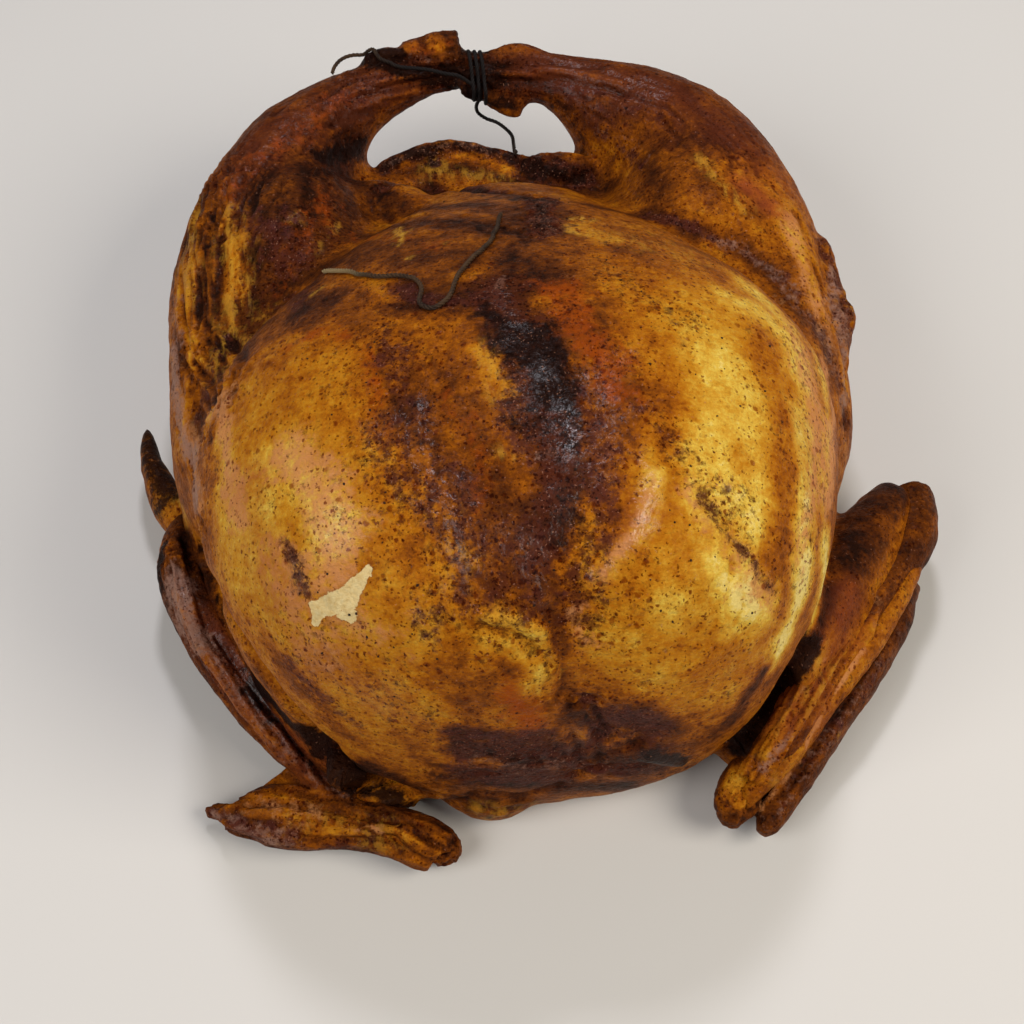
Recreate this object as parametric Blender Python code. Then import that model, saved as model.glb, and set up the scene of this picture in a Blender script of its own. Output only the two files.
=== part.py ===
"""A roast turducken on its back: one bird with its wings and tied legs, and its twine."""

import math

import bmesh
import bpy
import numpy as np
from mathutils import Matrix, Vector
from mathutils.bvhtree import BVHTree

# Driving dimensions, in metres.
WIDTH = 0.288  # across both hips
LENGTH = 0.346  # neck skin to the ends of the leg bones
HEIGHT = 0.158  # what it rests on to the top of the breast
TWINE = 0.0018  # thickness of the butcher's twine
GAP = 0.0003  # clearance between the twine and the meat

# Every place below is in millimetres on a bird drawn at this size, and is stretched to the
# driving dimensions. X runs to the viewer's right, Y from the neck to the legs and Z up.
DRAWN = (300, 360, 165)
STRETCH = Vector([real / drawn for real, drawn in zip((WIDTH, LENGTH, HEIGHT), DRAWN)])

# The trunk: stations along the back as y, reach to the left, reach to the right, underside, top.
TRUNK = (
    (-143, 34, 30, 26, 84),
    (-139, 60, 54, 8, 112),
    (-130, 84, 72, -6, 135),
    (-115, 102, 88, -6, 151),
    (-90, 119, 104, -6, 161),
    (-50, 131, 116, -6, 165),
    (-10, 131, 120, -6, 162),
    (25, 118, 110, -6, 151),
    (65, 92, 82, -6, 130),
    (102, 64, 60, -4, 100),
    (128, 54, 48, 4, 80),
    (142, 44, 38, 16, 60),
)
TRUNK_FULLNESS = 2.3  # 2 is an oval section, and more is squarer

# Lumps: centre and half sizes.
LUMPS = {
    "left thigh": ((-104, 18, 48), (46, 70, 54)),
    "right thigh": ((95, 20, 48), (46, 72, 54)),
    "left calf": ((-94, 90, 66), (38, 62, 44)),
    "right calf": ((86, 96, 62), (40, 62, 44)),
}

# Small lumps on the skin, which stay crisp.
SMALL_LUMPS = {
    "neck flap": ((-26, -134, 14), (18, 12, 14)),
    "dark lump by the vent": ((40, 151, 54), (13, 9, 8)),
    "right heel": ((8, 181, 77), (8, 7, 6)),
    "web of the right wing": ((88, -112, 16), (26, 34, 15)),
    "web of the left wing": ((-102, -92, 15), (25, 42, 14)),
}

# Limbs: stations along each one as x, y, z, half width, half depth.
LEGS = {
    "left leg": (
        (-104, 0, 48, 40, 46),
        (-113, 45, 52, 38, 46),
        (-115, 90, 58, 35, 42),
        (-109, 126, 62, 31, 38),
        (-94, 157, 67, 27, 32),
        (-76, 178, 72, 21, 25),
        (-60, 189, 77, 15, 18),
        (-42, 195, 81, 13, 15),
        (-26, 196, 85, 11, 12),
        (-2, 192, 87, 9, 10),
    ),
    "right leg": (
        (94, 0, 48, 40, 46),
        (104, 45, 52, 37, 46),
        (105, 90, 58, 36, 42),
        (101, 120, 62, 33, 39),
        (90, 145, 67, 31, 35),
        (72, 163, 71, 29, 31),
        (52, 176, 76, 22, 24),
        (32, 187, 82, 14, 15),
        (14, 190, 86, 12, 13),
        (-10, 192, 87, 9, 10),
    ),
    "vent flesh": (
        (-84, 136, 42, 26, 24),
        (-52, 150, 41, 20, 20),
        (-12, 155, 43, 20, 21),
        (28, 146, 44, 20, 20),
        (60, 136, 44, 24, 24),
    ),
}
WINGS_AND_KNUCKLES = {
    "left knuckle": ((-42, 197, 90, 5, 6), (-30, 199, 94, 9, 9), (-15, 201, 95, 10, 9)),
    "right knuckle": ((3, 193, 88, 5, 5), (12, 197, 91, 7, 7), (24, 196, 89, 5, 5)),
    "left upper wing": (
        (-84, -104, 34, 18, 18),
        (-110, -74, 28, 17, 15),
        (-130, -40, 26, 15, 15),
        (-144, -12, 22, 13, 13),
    ),
    "left forearm": (
        (-146, -8, 22, 11, 14),
        (-145, -38, 23, 12, 16),
        (-133, -68, 22, 12, 15),
        (-112, -99, 21, 12, 14),
        (-90, -126, 19, 12, 13),
        (-64, -150, 17, 12, 12),
        (-50, -158, 15, 10, 11),
    ),
    "left hand": (
        (-48, -158, 13, 9, 10),
        (-62, -151, 12, 12, 10),
        (-84, -143, 12, 13, 9),
        (-104, -139, 11, 13, 8),
        (-122, -135, 9, 9, 6),
        (-137, -132, 6, 3, 3),
    ),
    "right upper wing": (
        (82, -104, 44, 18, 20),
        (106, -84, 40, 17, 18),
        (126, -60, 38, 15, 17),
        (146, -36, 34, 13, 15),
        (160, -24, 30, 12, 13),
    ),
    "right forearm": (
        (163, -24, 28, 11, 13),
        (157, -52, 30, 12, 14),
        (134, -86, 31, 13, 15),
        (110, -111, 30, 13, 15),
        (88, -134, 26, 13, 15),
        (70, -151, 20, 12, 14),
    ),
    "right hand": (
        (71, -150, 12, 11, 10),
        (88, -134, 9, 12, 8),
        (110, -112, 8, 12, 7),
        (132, -90, 7, 8, 5),
        (142, -78, 6, 3, 3),
    ),
    "charred tip of skin": (
        (-144, -4, 16, 12, 14),
        (-156, 8, 18, 9, 11),
        (-164, 28, 20, 6, 9),
        (-167, 50, 22, 2, 3),
    ),
}
LIMB_SIDES = 20

# Relief in the skin: lines of x, y, z, height (a groove if below zero) and half width.
RELIEF = {
    "furrow between the breasts": (
        (6, -144, 30, -1, 12),
        (6, -144, 80, -5, 13),
        (5, -134, 128, -5, 15),
        (2, -112, 154, -2, 15),
        (0, -85, 162, 0, 15),
    ),
    "dimple in the neck skin": ((18, -144, 76, -4, 9), (30, -142, 72, -4, 9)),
    "left groin": (
        (-50, 118, 96, 0, 8),
        (-72, 66, 110, -2, 9),
        (-104, 32, 104, -3, 9),
        (-120, -10, 92, -2, 9),
        (-128, -40, 76, 0, 9),
    ),
    "right groin": (
        (34, 112, 98, -1, 7),
        (66, 80, 108, -4, 7),
        (92, 50, 104, -5, 7),
        (108, 16, 98, -4, 7),
        (117, -34, 78, 0, 8),
    ),
    "fold over the vent": (
        (-62, 136, 64, -1, 6),
        (-30, 138, 68, -3, 6),
        (5, 136, 68, -3, 6),
        (40, 132, 70, -1, 6),
    ),
    "vent lip": (
        (-58, 164, 50, 1, 6),
        (-35, 170, 56, 3, 6),
        (-15, 173, 58, 4, 6),
        (8, 170, 58, 3, 6),
        (30, 162, 56, 1, 6),
    ),
}

# The twine wound round both shanks: where its turns start, their number and the metres between
# them, and how far out the skin is looked for, which is short of the vent.
TIE_START = (-10, 193, 87)
TIE_TURNS = 3
TIE_STEP = 0.0026
TIE_REACH = 0.028
TURN_POINTS = 24

# Loose twine, as x, y, z along each piece. What lies on the meat is lifted clear of it below.
TWINE_ROUTES = {
    "twine_span": (
        (-6, 188, 73),
        (-7, 191, 66),
        (-6, 193, 60),
        (-2, 193, 56),
        (3, 191, 55),
        (7, 185, 56),
        (9, 176, 60),
        (9, 168, 62),
    ),
    "twine_loop": (
        (-15, 184, 92),
        (-21, 185, 93),
        (-30, 187, 94.5),
        (-43, 190, 94.5),
        (-48, 193, 95),
        (-52, 197, 94.5),
        (-58, 200, 93.5),
        (-64, 201, 93),
        (-69, 199, 92.5),
        (-72, 195, 92),
        (-73, 190, 93),
    ),
    "twine_tail": (
        (-6, 56, 135),
        (-8, 46, 140),
        (-12, 30, 148),
        (-19, 20, 152),
        (-25, 9, 155),
        (-29, -3, 158),
        (-35, -9, 160),
        (-40, -5, 158),
        (-39, 5, 155),
        (-44, 13, 152),
        (-58, 20, 144),
        (-76, 40, 126),
    ),
}

# Surface quality: the grid of the joined skin in metres, rounds of smoothing for the soft masses
# and for what stays crisp, the triangles of the bird, and points along the twine in thicknesses.
VOXEL = 0.003
SOFT_ROUNDS = 36
CRISP_ROUNDS = 8
BIRD_TRIANGLES = 9400
TWINE_POINT_STEP = 2.2 * TWINE


def place(x, y, z):
    """A drawn place in metres on the bird as built."""
    return Vector((x * STRETCH.x, y * STRETCH.y, z * STRETCH.z))


def clear_scene():
    for thing in list(bpy.data.objects):
        bpy.data.objects.remove(thing, do_unlink=True)


def material(name, colour, roughness):
    """A plain cooked surface, its colour given as sRGB hex."""
    made = bpy.data.materials.new(name)
    made.use_nodes = True
    shader = made.node_tree.nodes["Principled BSDF"]
    channels = [int(colour[i : i + 2], 16) / 255 for i in (0, 2, 4)]
    linear = [c / 12.92 if c <= 0.04045 else ((c + 0.055) / 1.055) ** 2.4 for c in channels]
    shader.inputs["Base Color"].default_value = (*linear, 1)
    shader.inputs["Roughness"].default_value = roughness
    shader.inputs["Metallic"].default_value = 0
    return made


def smooth_curve(stations, steps):
    """Stations on a smooth curve through every given one, whatever they hold."""
    given = np.array(stations, float)
    padded = np.vstack([2 * given[0] - given[1], given, 2 * given[-1] - given[-2]])
    rows = []
    for a, b, c, d in zip(padded, padded[1:], padded[2:], padded[3:]):
        for t in np.arange(steps) / steps:
            bend = (2 * a - 5 * b + 4 * c - d) * t**2 + (3 * b - a - 3 * c + d) * t**3
            rows.append(b + ((c - a) * t + bend) / 2)
    rows.append(given[-1])
    return np.array(rows)


def add_rings(bm, rings):
    """A skin over rings of points, closed at both ends."""
    last = None
    for ring in rings:
        row = [bm.verts.new(point) for point in ring]
        if last:
            for k in range(len(row)):
                nxt = (k + 1) % len(row)
                bm.faces.new((last[k], last[nxt], row[nxt], row[k]))
        else:
            bm.faces.new(row[::-1])
        last = row
    bm.faces.new(last)


def add_trunk(bm, sides=64, steps=4):
    """The trunk, with rounded square sections across the back."""
    power = 2 / TRUNK_FULLNESS
    rings = []
    for y, left, right, under, top in smooth_curve(TRUNK, steps):
        ring = []
        for k in range(sides):
            cosine = math.cos(math.tau * k / sides)
            sine = math.sin(math.tau * k / sides)
            reach = right if cosine > 0 else left
            x = reach * math.copysign(abs(cosine) ** power, cosine)
            rise = (top - under) / 2 * math.copysign(abs(sine) ** power, sine)
            ring.append(place(x, y, (top + under) / 2 + rise))
        rings.append(ring)
    add_rings(bm, rings)


def add_lump(bm, centre, half_sizes):
    """An egg of meat."""
    shape = Matrix.Translation(place(*centre)) @ Matrix.Diagonal((*place(*half_sizes), 1))
    bmesh.ops.create_uvsphere(bm, u_segments=48, v_segments=24, radius=1, matrix=shape)


def add_limb(bm, stations, steps=5):
    """A tapering limb with an oval section."""
    curve = smooth_curve(stations, steps)
    centres = [place(*row[:3]) for row in curve]
    rings = []
    for i, (*_, half_width, half_depth) in enumerate(curve):
        along = centres[min(i + 1, len(curve) - 1)] - centres[max(i - 1, 0)]
        side = along.cross(Vector((0, 0, 1))).normalized() * half_width * STRETCH.x
        over = side.cross(along).normalized() * half_depth * STRETCH.z
        turns = [math.tau * k / LIMB_SIDES for k in range(LIMB_SIDES)]
        rings.append([centres[i] + side * math.cos(t) + over * math.sin(t) for t in turns])
    add_rings(bm, rings)


def mesh_object(name, bm):
    mesh = bpy.data.meshes.new(name)
    bm.to_mesh(mesh)
    bm.free()
    made = bpy.data.objects.new(name, mesh)
    bpy.context.scene.collection.objects.link(made)
    return made


def apply_modifiers(thing):
    """Leaves the object with the mesh that its modifiers make."""
    graph = bpy.context.evaluated_depsgraph_get()
    graph.update()
    old = thing.data
    thing.data = bpy.data.meshes.new_from_object(thing.evaluated_get(graph))
    thing.modifiers.clear()
    bpy.data.meshes.remove(old)


def draw_skin(bird, rounds):
    """Joins all that the object holds under one skin, and draws it smooth."""
    remesh = bird.modifiers.new("One skin", "REMESH")
    remesh.mode = "VOXEL"
    remesh.voxel_size = VOXEL
    smooth = bird.modifiers.new("Drawn skin", "SMOOTH")
    smooth.factor = 0.5
    smooth.iterations = rounds
    apply_modifiers(bird)


def add_to(bird, lumps, limbs):
    """Adds closed shapes to the object's own mesh."""
    bm = bmesh.new()
    bm.from_mesh(bird.data)
    for centre, half_sizes in lumps.values():
        add_lump(bm, centre, half_sizes)
    for stations in limbs.values():
        add_limb(bm, stations)
    bmesh.ops.recalc_face_normals(bm, faces=bm.faces)
    bm.to_mesh(bird.data)
    bm.free()


def joined_meat():
    """The trunk and legs as soft masses, then the wings and knuckles with tighter creases."""
    bm = bmesh.new()
    add_trunk(bm)
    bird = mesh_object("bird", bm)
    add_to(bird, LUMPS, LEGS)
    draw_skin(bird, SOFT_ROUNDS)
    press_relief(bird)
    add_to(bird, SMALL_LUMPS, WINGS_AND_KNUCKLES)
    draw_skin(bird, CRISP_ROUNDS)
    return bird


def relief_height(points, stations):
    """How far a line of relief lifts each point."""
    line = smooth_curve(stations, steps=6)
    lift = np.zeros(len(points))
    nearest = np.full(len(points), np.inf)
    for first, last in zip(line, line[1:]):
        start, run = np.array(place(*first[:3])), np.array(place(*(last - first)[:3]))
        share = np.clip((points - start) @ run / (run @ run), 0, 1)
        off = np.linalg.norm(points - start - share[:, None] * run, axis=1)
        height = (first[3] + share * (last[3] - first[3])) * STRETCH.z
        half_width = (first[4] + share * (last[4] - first[4])) * STRETCH.x
        lift = np.where(off < nearest, height * np.exp(-((off / half_width) ** 2)), lift)
        nearest = np.minimum(nearest, off)
    return lift


def press_relief(bird):
    """Grooves and ridges pressed into the skin along its own normals."""
    mesh = bird.data
    points = np.empty(len(mesh.vertices) * 3)
    normals = np.empty(len(mesh.vertices) * 3)
    mesh.vertices.foreach_get("co", points)
    mesh.vertices.foreach_get("normal", normals)
    points = points.reshape(-1, 3)
    lift = sum(relief_height(points, stations) for stations in RELIEF.values())
    points += normals.reshape(-1, 3) * lift[:, None]
    mesh.vertices.foreach_set("co", points.ravel())
    mesh.update()


def keep_largest_shell(bm):
    """Drops the small closed shells that joining shapes can leave inside."""
    unseen = set(bm.verts)
    shells = []
    while unseen:
        start = unseen.pop()
        shell, todo = [start], [start]
        while todo:
            for edge in todo.pop().link_edges:
                for vert in unseen.intersection(edge.verts):
                    unseen.remove(vert)
                    shell.append(vert)
                    todo.append(vert)
        shells.append(shell)
    for shell in sorted(shells, key=len)[:-1]:
        bmesh.ops.delete(bm, geom=shell, context="VERTS")


def cut_flat(bird):
    """Cuts the flat that the bird rests on, at height zero."""
    bm = bmesh.new()
    bm.from_mesh(bird.data)
    keep_largest_shell(bm)
    everything = bm.verts[:] + bm.edges[:] + bm.faces[:]
    bmesh.ops.bisect_plane(
        bm, geom=everything, plane_co=(0, 0, 0), plane_no=(0, 0, -1), clear_outer=True
    )
    bmesh.ops.holes_fill(bm, edges=[edge for edge in bm.edges if edge.is_boundary])
    bmesh.ops.triangulate(bm, faces=bm.faces)
    bmesh.ops.recalc_face_normals(bm, faces=bm.faces)
    bm.to_mesh(bird.data)
    bm.free()


def make_bird():
    bird = joined_meat()
    triangles = sum(len(face.vertices) - 2 for face in bird.data.polygons)
    thinned = bird.modifiers.new("Fewer faces", "DECIMATE")
    thinned.ratio = BIRD_TRIANGLES / triangles
    apply_modifiers(bird)
    cut_flat(bird)
    bird.data.materials.append(material("roast skin", "8a4a1c", 0.35))
    return bird


def kept_clear(points, skin, clearance):
    """Points moved off the skin where they are nearer than the clearance, or inside it."""
    moved = []
    for point in points:
        spot, normal, _, distance = skin.find_nearest(point)
        inside = (point - spot).dot(normal) < 0
        if inside or distance < clearance:
            point = spot + normal * clearance
        moved.append(point)
    return moved


def evenly(points, spacing):
    """The same path with its points an even step apart."""
    points = np.array(points)
    along = np.concatenate([[0], np.cumsum(np.linalg.norm(np.diff(points, axis=0), axis=1))])
    steps = np.linspace(0, along[-1], max(2, round(along[-1] / spacing)) + 1)
    return [Vector([np.interp(step, along, points[:, axis]) for axis in range(3)]) for step in steps]


def make_twine(name, points, look):
    """Twine through the points, with round sides and filled ends."""
    data = bpy.data.curves.new(name, "CURVE")
    data.dimensions = "3D"
    data.bevel_depth = TWINE / 2
    data.bevel_resolution = 2
    data.use_fill_caps = True
    spline = data.splines.new("POLY")
    spline.points.add(len(points) - 1)
    for spot, point in zip(spline.points, points):
        spot.co = (*point, 1)
    data.materials.append(look)
    made = bpy.data.objects.new(name, data)
    bpy.context.scene.collection.objects.link(made)


def tie_points(skin):
    """Turns of twine drawn tight round the two shanks together."""
    start = place(*TIE_START)
    spots, radii = [], []
    for k in range(TIE_TURNS * TURN_POINTS + 1):
        angle = math.tau * k / TURN_POINTS
        out = Vector((0, math.cos(angle), math.sin(angle)))
        axis = start + Vector((TIE_STEP * k / TURN_POINTS, 0, 0))
        hit = skin.ray_cast(axis + out * TIE_REACH, -out)[0]
        spots.append((axis, out))
        radii.append((hit - axis).length)
    tight = [max(radii[max(0, k - 2) : k + 3]) for k in range(len(radii))]
    return [axis + out * (radius + TWINE / 2 + 2 * GAP) for (axis, out), radius in zip(spots, tight)]


def make_all_twine(bird):
    skin = BVHTree.FromObject(bird, bpy.context.evaluated_depsgraph_get())
    look = material("baked butcher's twine", "4a3a28", 0.85)
    make_twine("leg_tie", evenly(tie_points(skin), TWINE_POINT_STEP), look)
    clearance = TWINE / 2 + 2 * GAP
    for name, route in TWINE_ROUTES.items():
        path = [place(*row) for row in smooth_curve(route, steps=8)]
        path = evenly(kept_clear(path, skin, clearance), TWINE_POINT_STEP)
        make_twine(name, kept_clear(path, skin, clearance), look)


clear_scene()
make_all_twine(make_bird())
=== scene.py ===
"""A roast turducken lying on its back with its leg ends tied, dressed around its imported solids."""

import math
from itertools import product

import bmesh
import bpy
import numpy as np
from mathutils import Matrix, Vector
from mathutils.bvhtree import BVHTree


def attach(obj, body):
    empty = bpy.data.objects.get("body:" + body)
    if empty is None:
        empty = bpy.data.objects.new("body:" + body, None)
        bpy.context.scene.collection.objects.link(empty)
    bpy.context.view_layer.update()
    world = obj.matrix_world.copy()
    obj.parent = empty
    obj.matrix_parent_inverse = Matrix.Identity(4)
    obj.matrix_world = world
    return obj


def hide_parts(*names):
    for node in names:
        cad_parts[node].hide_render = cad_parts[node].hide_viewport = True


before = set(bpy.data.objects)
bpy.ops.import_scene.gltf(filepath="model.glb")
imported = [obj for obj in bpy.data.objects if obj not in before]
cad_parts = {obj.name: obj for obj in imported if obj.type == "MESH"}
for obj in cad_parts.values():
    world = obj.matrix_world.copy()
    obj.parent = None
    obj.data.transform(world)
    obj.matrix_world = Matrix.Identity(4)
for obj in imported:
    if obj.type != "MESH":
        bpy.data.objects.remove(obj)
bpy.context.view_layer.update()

# The camera stands over the neck end and looks down along the breast.
CAMERA_AT = Vector((-0.0365, -0.3456, 0.5597))
CAMERA_HEADING = math.radians(5)
CAMERA_TILT = math.radians(58)
FOCAL_PIXELS = 1528
PICTURE_SIDE = 1024
SENSOR_MM = 36

# Skin, in metres.
SKIN_GRID = 0.00138
SKIN_TRIANGLES = 198000
RESTING_BELOW = 0.0012  # skin that is lower than this rests on the ground and stays as it is
GROUND_GAP = 0.0002
BIRD_MIDDLE = (0, 0, 0.02)

# Twine, in metres.
TWINE = 0.0018
TWINE_LIFT = 0.0001  # left between the twine and the skin that it lies on
TWIST_LENGTH = 0.0052
STRANDS = 3
STRAND_STEP = 0.0005
STRAND_SIDES = 7
TIE_MIDDLE = (-0.006, 0.183, 0.086)
TAIL_END = (-0.073, 0.0384, 0.1207)

# The drawn bird's own millimetres, stretched to its real size in metres.
STRETCH = Vector((0.288 / 300, 0.346 / 360, 0.158 / 165))

TIE_START = (-10, 193, 87)
TIE_TURNS = 3
TIE_STEP = 0.0026
TIE_REACH = 0.028
TIE_SUNK = 0.0011  # how deep the turns have cut into the skin
TURN_POINTS = 36
TIE_SPAN = 3  # how many points to each side the twine stays stretched over

TWINE_ROUTES = {
    "twine_span": (
        (-6, 188, 73),
        (-7, 191, 66),
        (-6, 193, 60),
        (-2, 193, 56),
        (3, 191, 55),
        (7, 185, 56),
        (9, 176, 60),
        (9, 168, 62),
    ),
    "twine_loop": (
        (-15, 184, 92),
        (-21, 185, 93),
        (-30, 187, 94.5),
        (-43, 190, 94.5),
        (-48, 193, 95),
        (-52, 197, 94.5),
        (-58, 200, 93.5),
        (-64, 201, 93),
        (-69, 199, 92.5),
        (-72, 195, 92),
        (-73, 190, 93),
    ),
    "twine_tail": (
        (-6, 56, 135),
        (-8, 46, 140),
        (-12, 30, 148),
        (-19, 20, 152),
        (-25, 9, 155),
        (-29, -3, 158),
        (-35, -9, 160),
        (-40, -5, 158),
        (-39, 5, 155),
        (-44, 13, 152),
        (-58, 20, 144),
        (-76, 40, 126),
    ),
}

# How the twine runs on before and after its route, under the tie and into the skin.
TWINE_ENDS = {
    "twine_span": (((-6, 185, 83), (-6, 186, 78)), ((9, 162, 63), (9, 158, 66))),
    "twine_loop": (((-8, 182, 87),), ()),
    "twine_tail": ((), ()),
}

# Loose flesh and skin that stand up from the bird, in the same way as the wings below.
FLESH = {
    "lip of the vent": (
        (-56, 160, 54, 3, 4),
        (-53, 162, 57, 3, 5),
        (-43, 165, 59, 3, 5.5),
        (-31, 168, 60.5, 3, 6),
        (-20, 169, 61.5, 3, 6),
        (-9, 165, 61, 3, 5.5),
        (-1, 162, 60.5, 3, 5),
        (8, 158, 60, 3.5, 5),
        (15, 153, 61, 4, 5),
    ),
    "lump by the vent": (
        (12, 152, 60, 5, 5),
        (20, 149, 62.5, 8, 8),
        (30, 147, 64.5, 9, 8.5),
        (38, 146, 66, 7, 7),
        (45, 144, 67, 3, 3),
    ),
    "block of the left knuckle": (
        (-40, 197, 94, 7, 7),
        (-33, 199, 93, 8, 7),
        (-23, 200, 94.5, 8.5, 8.5),
        (-13.5, 200, 94.5, 8, 8.5),
    ),
    "burnt end beside it": (
        (-60, 198, 87, 2, 2),
        (-55.5, 197, 90, 4.5, 5),
        (-50, 196.5, 92.5, 6, 6),
        (-42, 197, 92, 6, 6.5),
    ),
    "flap under the tie": (
        (-14, 184, 85, 4, 3),
        (-10, 184.5, 81, 4, 3),
        (-7, 185, 77, 2.5, 2),
        (-6, 185, 74, 1.2, 1.2),
    ),
    "right hip": (
        (133, 88, 73, 4, 5),
        (136, 81, 72, 6, 7),
        (136, 66, 71, 7, 8),
        (136, 51, 70, 8, 9),
        (136, 44, 70, 9, 9),
        (134, 30, 70, 6, 8),
        (131, 16, 70, 5, 7),
    ),
    "skin between the left leg and the vent": (
        (-74, 130, 74, 9, 8),
        (-66, 128, 70, 14, 12),
        (-56, 124, 68, 17, 14),
        (-46, 118, 70, 17, 14),
        (-38, 108, 78, 13, 12),
    ),
    "heel": (
        (-4, 185, 82, 4, 4),
        (2, 182, 78, 5, 4.5),
        (8, 180, 75, 5, 4),
        (14, 178, 74, 4, 3),
    ),
}

# The wings are pieces of their own, so that their skin can be finer: stations in drawn
# millimetres as x, y, z, half width, half depth.
WINGS = {
    "left_wing": (
        (
            (-148, -5, 20, 5, 9),
            (-149, -15, 22, 8, 13),
            (-149, -31, 23, 9.5, 15),
            (-145, -44, 23, 10, 16),
            (-138, -60, 22, 10, 15),
            (-127, -77, 21, 10.5, 14),
            (-118, -90, 20, 11, 13),
            (-111, -99, 19, 10.5, 12),
            (-104, -109, 17, 9, 11),
            (-97, -118, 15, 7, 9),
            (-90, -126, 13, 7, 8),
            (-81, -133, 12, 8, 8),
        ),
        (
            (-139, -130, 6, 2, 2),
            (-133, -131, 8, 3.5, 4),
            (-126, -135, 9, 7, 7),
            (-116, -135, 10, 12, 9),
            (-106, -137, 11, 13, 9),
            (-96, -139, 11, 12.5, 9),
            (-85, -141, 11, 10.5, 9),
            (-74, -144, 11, 10, 9),
            (-64, -147, 11, 10, 9),
            (-53, -152, 10, 10.5, 9),
            (-47, -155, 9, 8, 8),
            (-46, -160, 8, 4, 5),
        ),
    ),
    "right_wing": (
        (
            (163, -22, 28, 10, 12),
            (161, -38, 29, 11, 13),
            (155, -50, 30, 10, 12),
            (147, -60, 30, 8, 11),
            (133, -76, 31, 8.5, 12),
            (119, -91, 32, 8.5, 13),
            (108, -104, 32, 8.5, 13.5),
            (97, -117, 31, 8.5, 14),
            (89, -128, 29, 8, 13),
            (81, -136, 26, 7.5, 12),
            (75, -142, 22, 7, 10),
        ),
        (
            (161, -58, 14, 2.5, 3),
            (154, -66, 17, 5, 7),
            (146, -76, 19, 8, 10),
            (135, -91, 18, 8, 11),
            (123, -105, 18, 8, 11),
            (110, -120, 16, 7.5, 11),
            (97, -136, 13, 7, 10),
            (86, -149, 11, 6.5, 8),
            (80, -156, 10, 5, 6),
            (77, -159, 9, 2.5, 4),
        ),
        (
            (75, -134, 21, 6, 8),
            (72, -140, 18, 8, 10),
            (69, -147, 15, 9, 10),
            (67, -151, 12, 7, 8),
            (66, -155, 9, 3, 4),
        ),
    ),
}

# The solid's own lower wings, in the same way: the body's skin is drawn in to a core there.
BURIED = (
    (
        (-146, -14, 22, 11, 14),
        (-145, -38, 23, 12, 16),
        (-133, -68, 22, 12, 15),
        (-112, -99, 21, 12, 14),
        (-90, -126, 19, 12, 13),
        (-64, -150, 17, 12, 12),
        (-50, -158, 15, 10, 11),
    ),
    (
        (-48, -158, 13, 9, 10),
        (-62, -151, 12, 12, 10),
        (-84, -143, 12, 13, 9),
        (-104, -139, 11, 13, 8),
        (-122, -135, 9, 9, 6),
        (-137, -132, 6, 3, 3),
    ),
    (
        (163, -28, 28, 11, 13),
        (157, -52, 30, 12, 14),
        (134, -86, 31, 13, 15),
        (110, -111, 30, 13, 15),
        (88, -134, 26, 13, 15),
        (70, -151, 20, 12, 14),
    ),
    (
        (71, -150, 12, 11, 10),
        (88, -134, 9, 12, 8),
        (110, -112, 8, 12, 7),
        (132, -90, 7, 8, 5),
        (142, -78, 6, 3, 3),
    ),
)
CORE = 0.5  # how much of its thickness a buried limb keeps

# Webs of skin outside the left forearm, drawn in towards it from outside alone.
WEBS = (
    (
        (-127, -77, 20, 14, 14),
        (-114, -95, 18, 20, 20),
        (-101, -112, 16, 26, 26),
        (-86, -128, 13, 24, 24),
    ),
)
WEB_CORE = 0.12
WEB_FADE = 0.004
LIMB_EDGE = 1.05  # in a limb's own half thicknesses, and so is the next
LIMB_FADE = 0.45
LIMB_SIDES = 24
WING_GRID = 0.0009

# Marks on the skin are lines seen from the camera, as x and y on the picture, each with the
# half width in millimetres over which it fades out.

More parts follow.
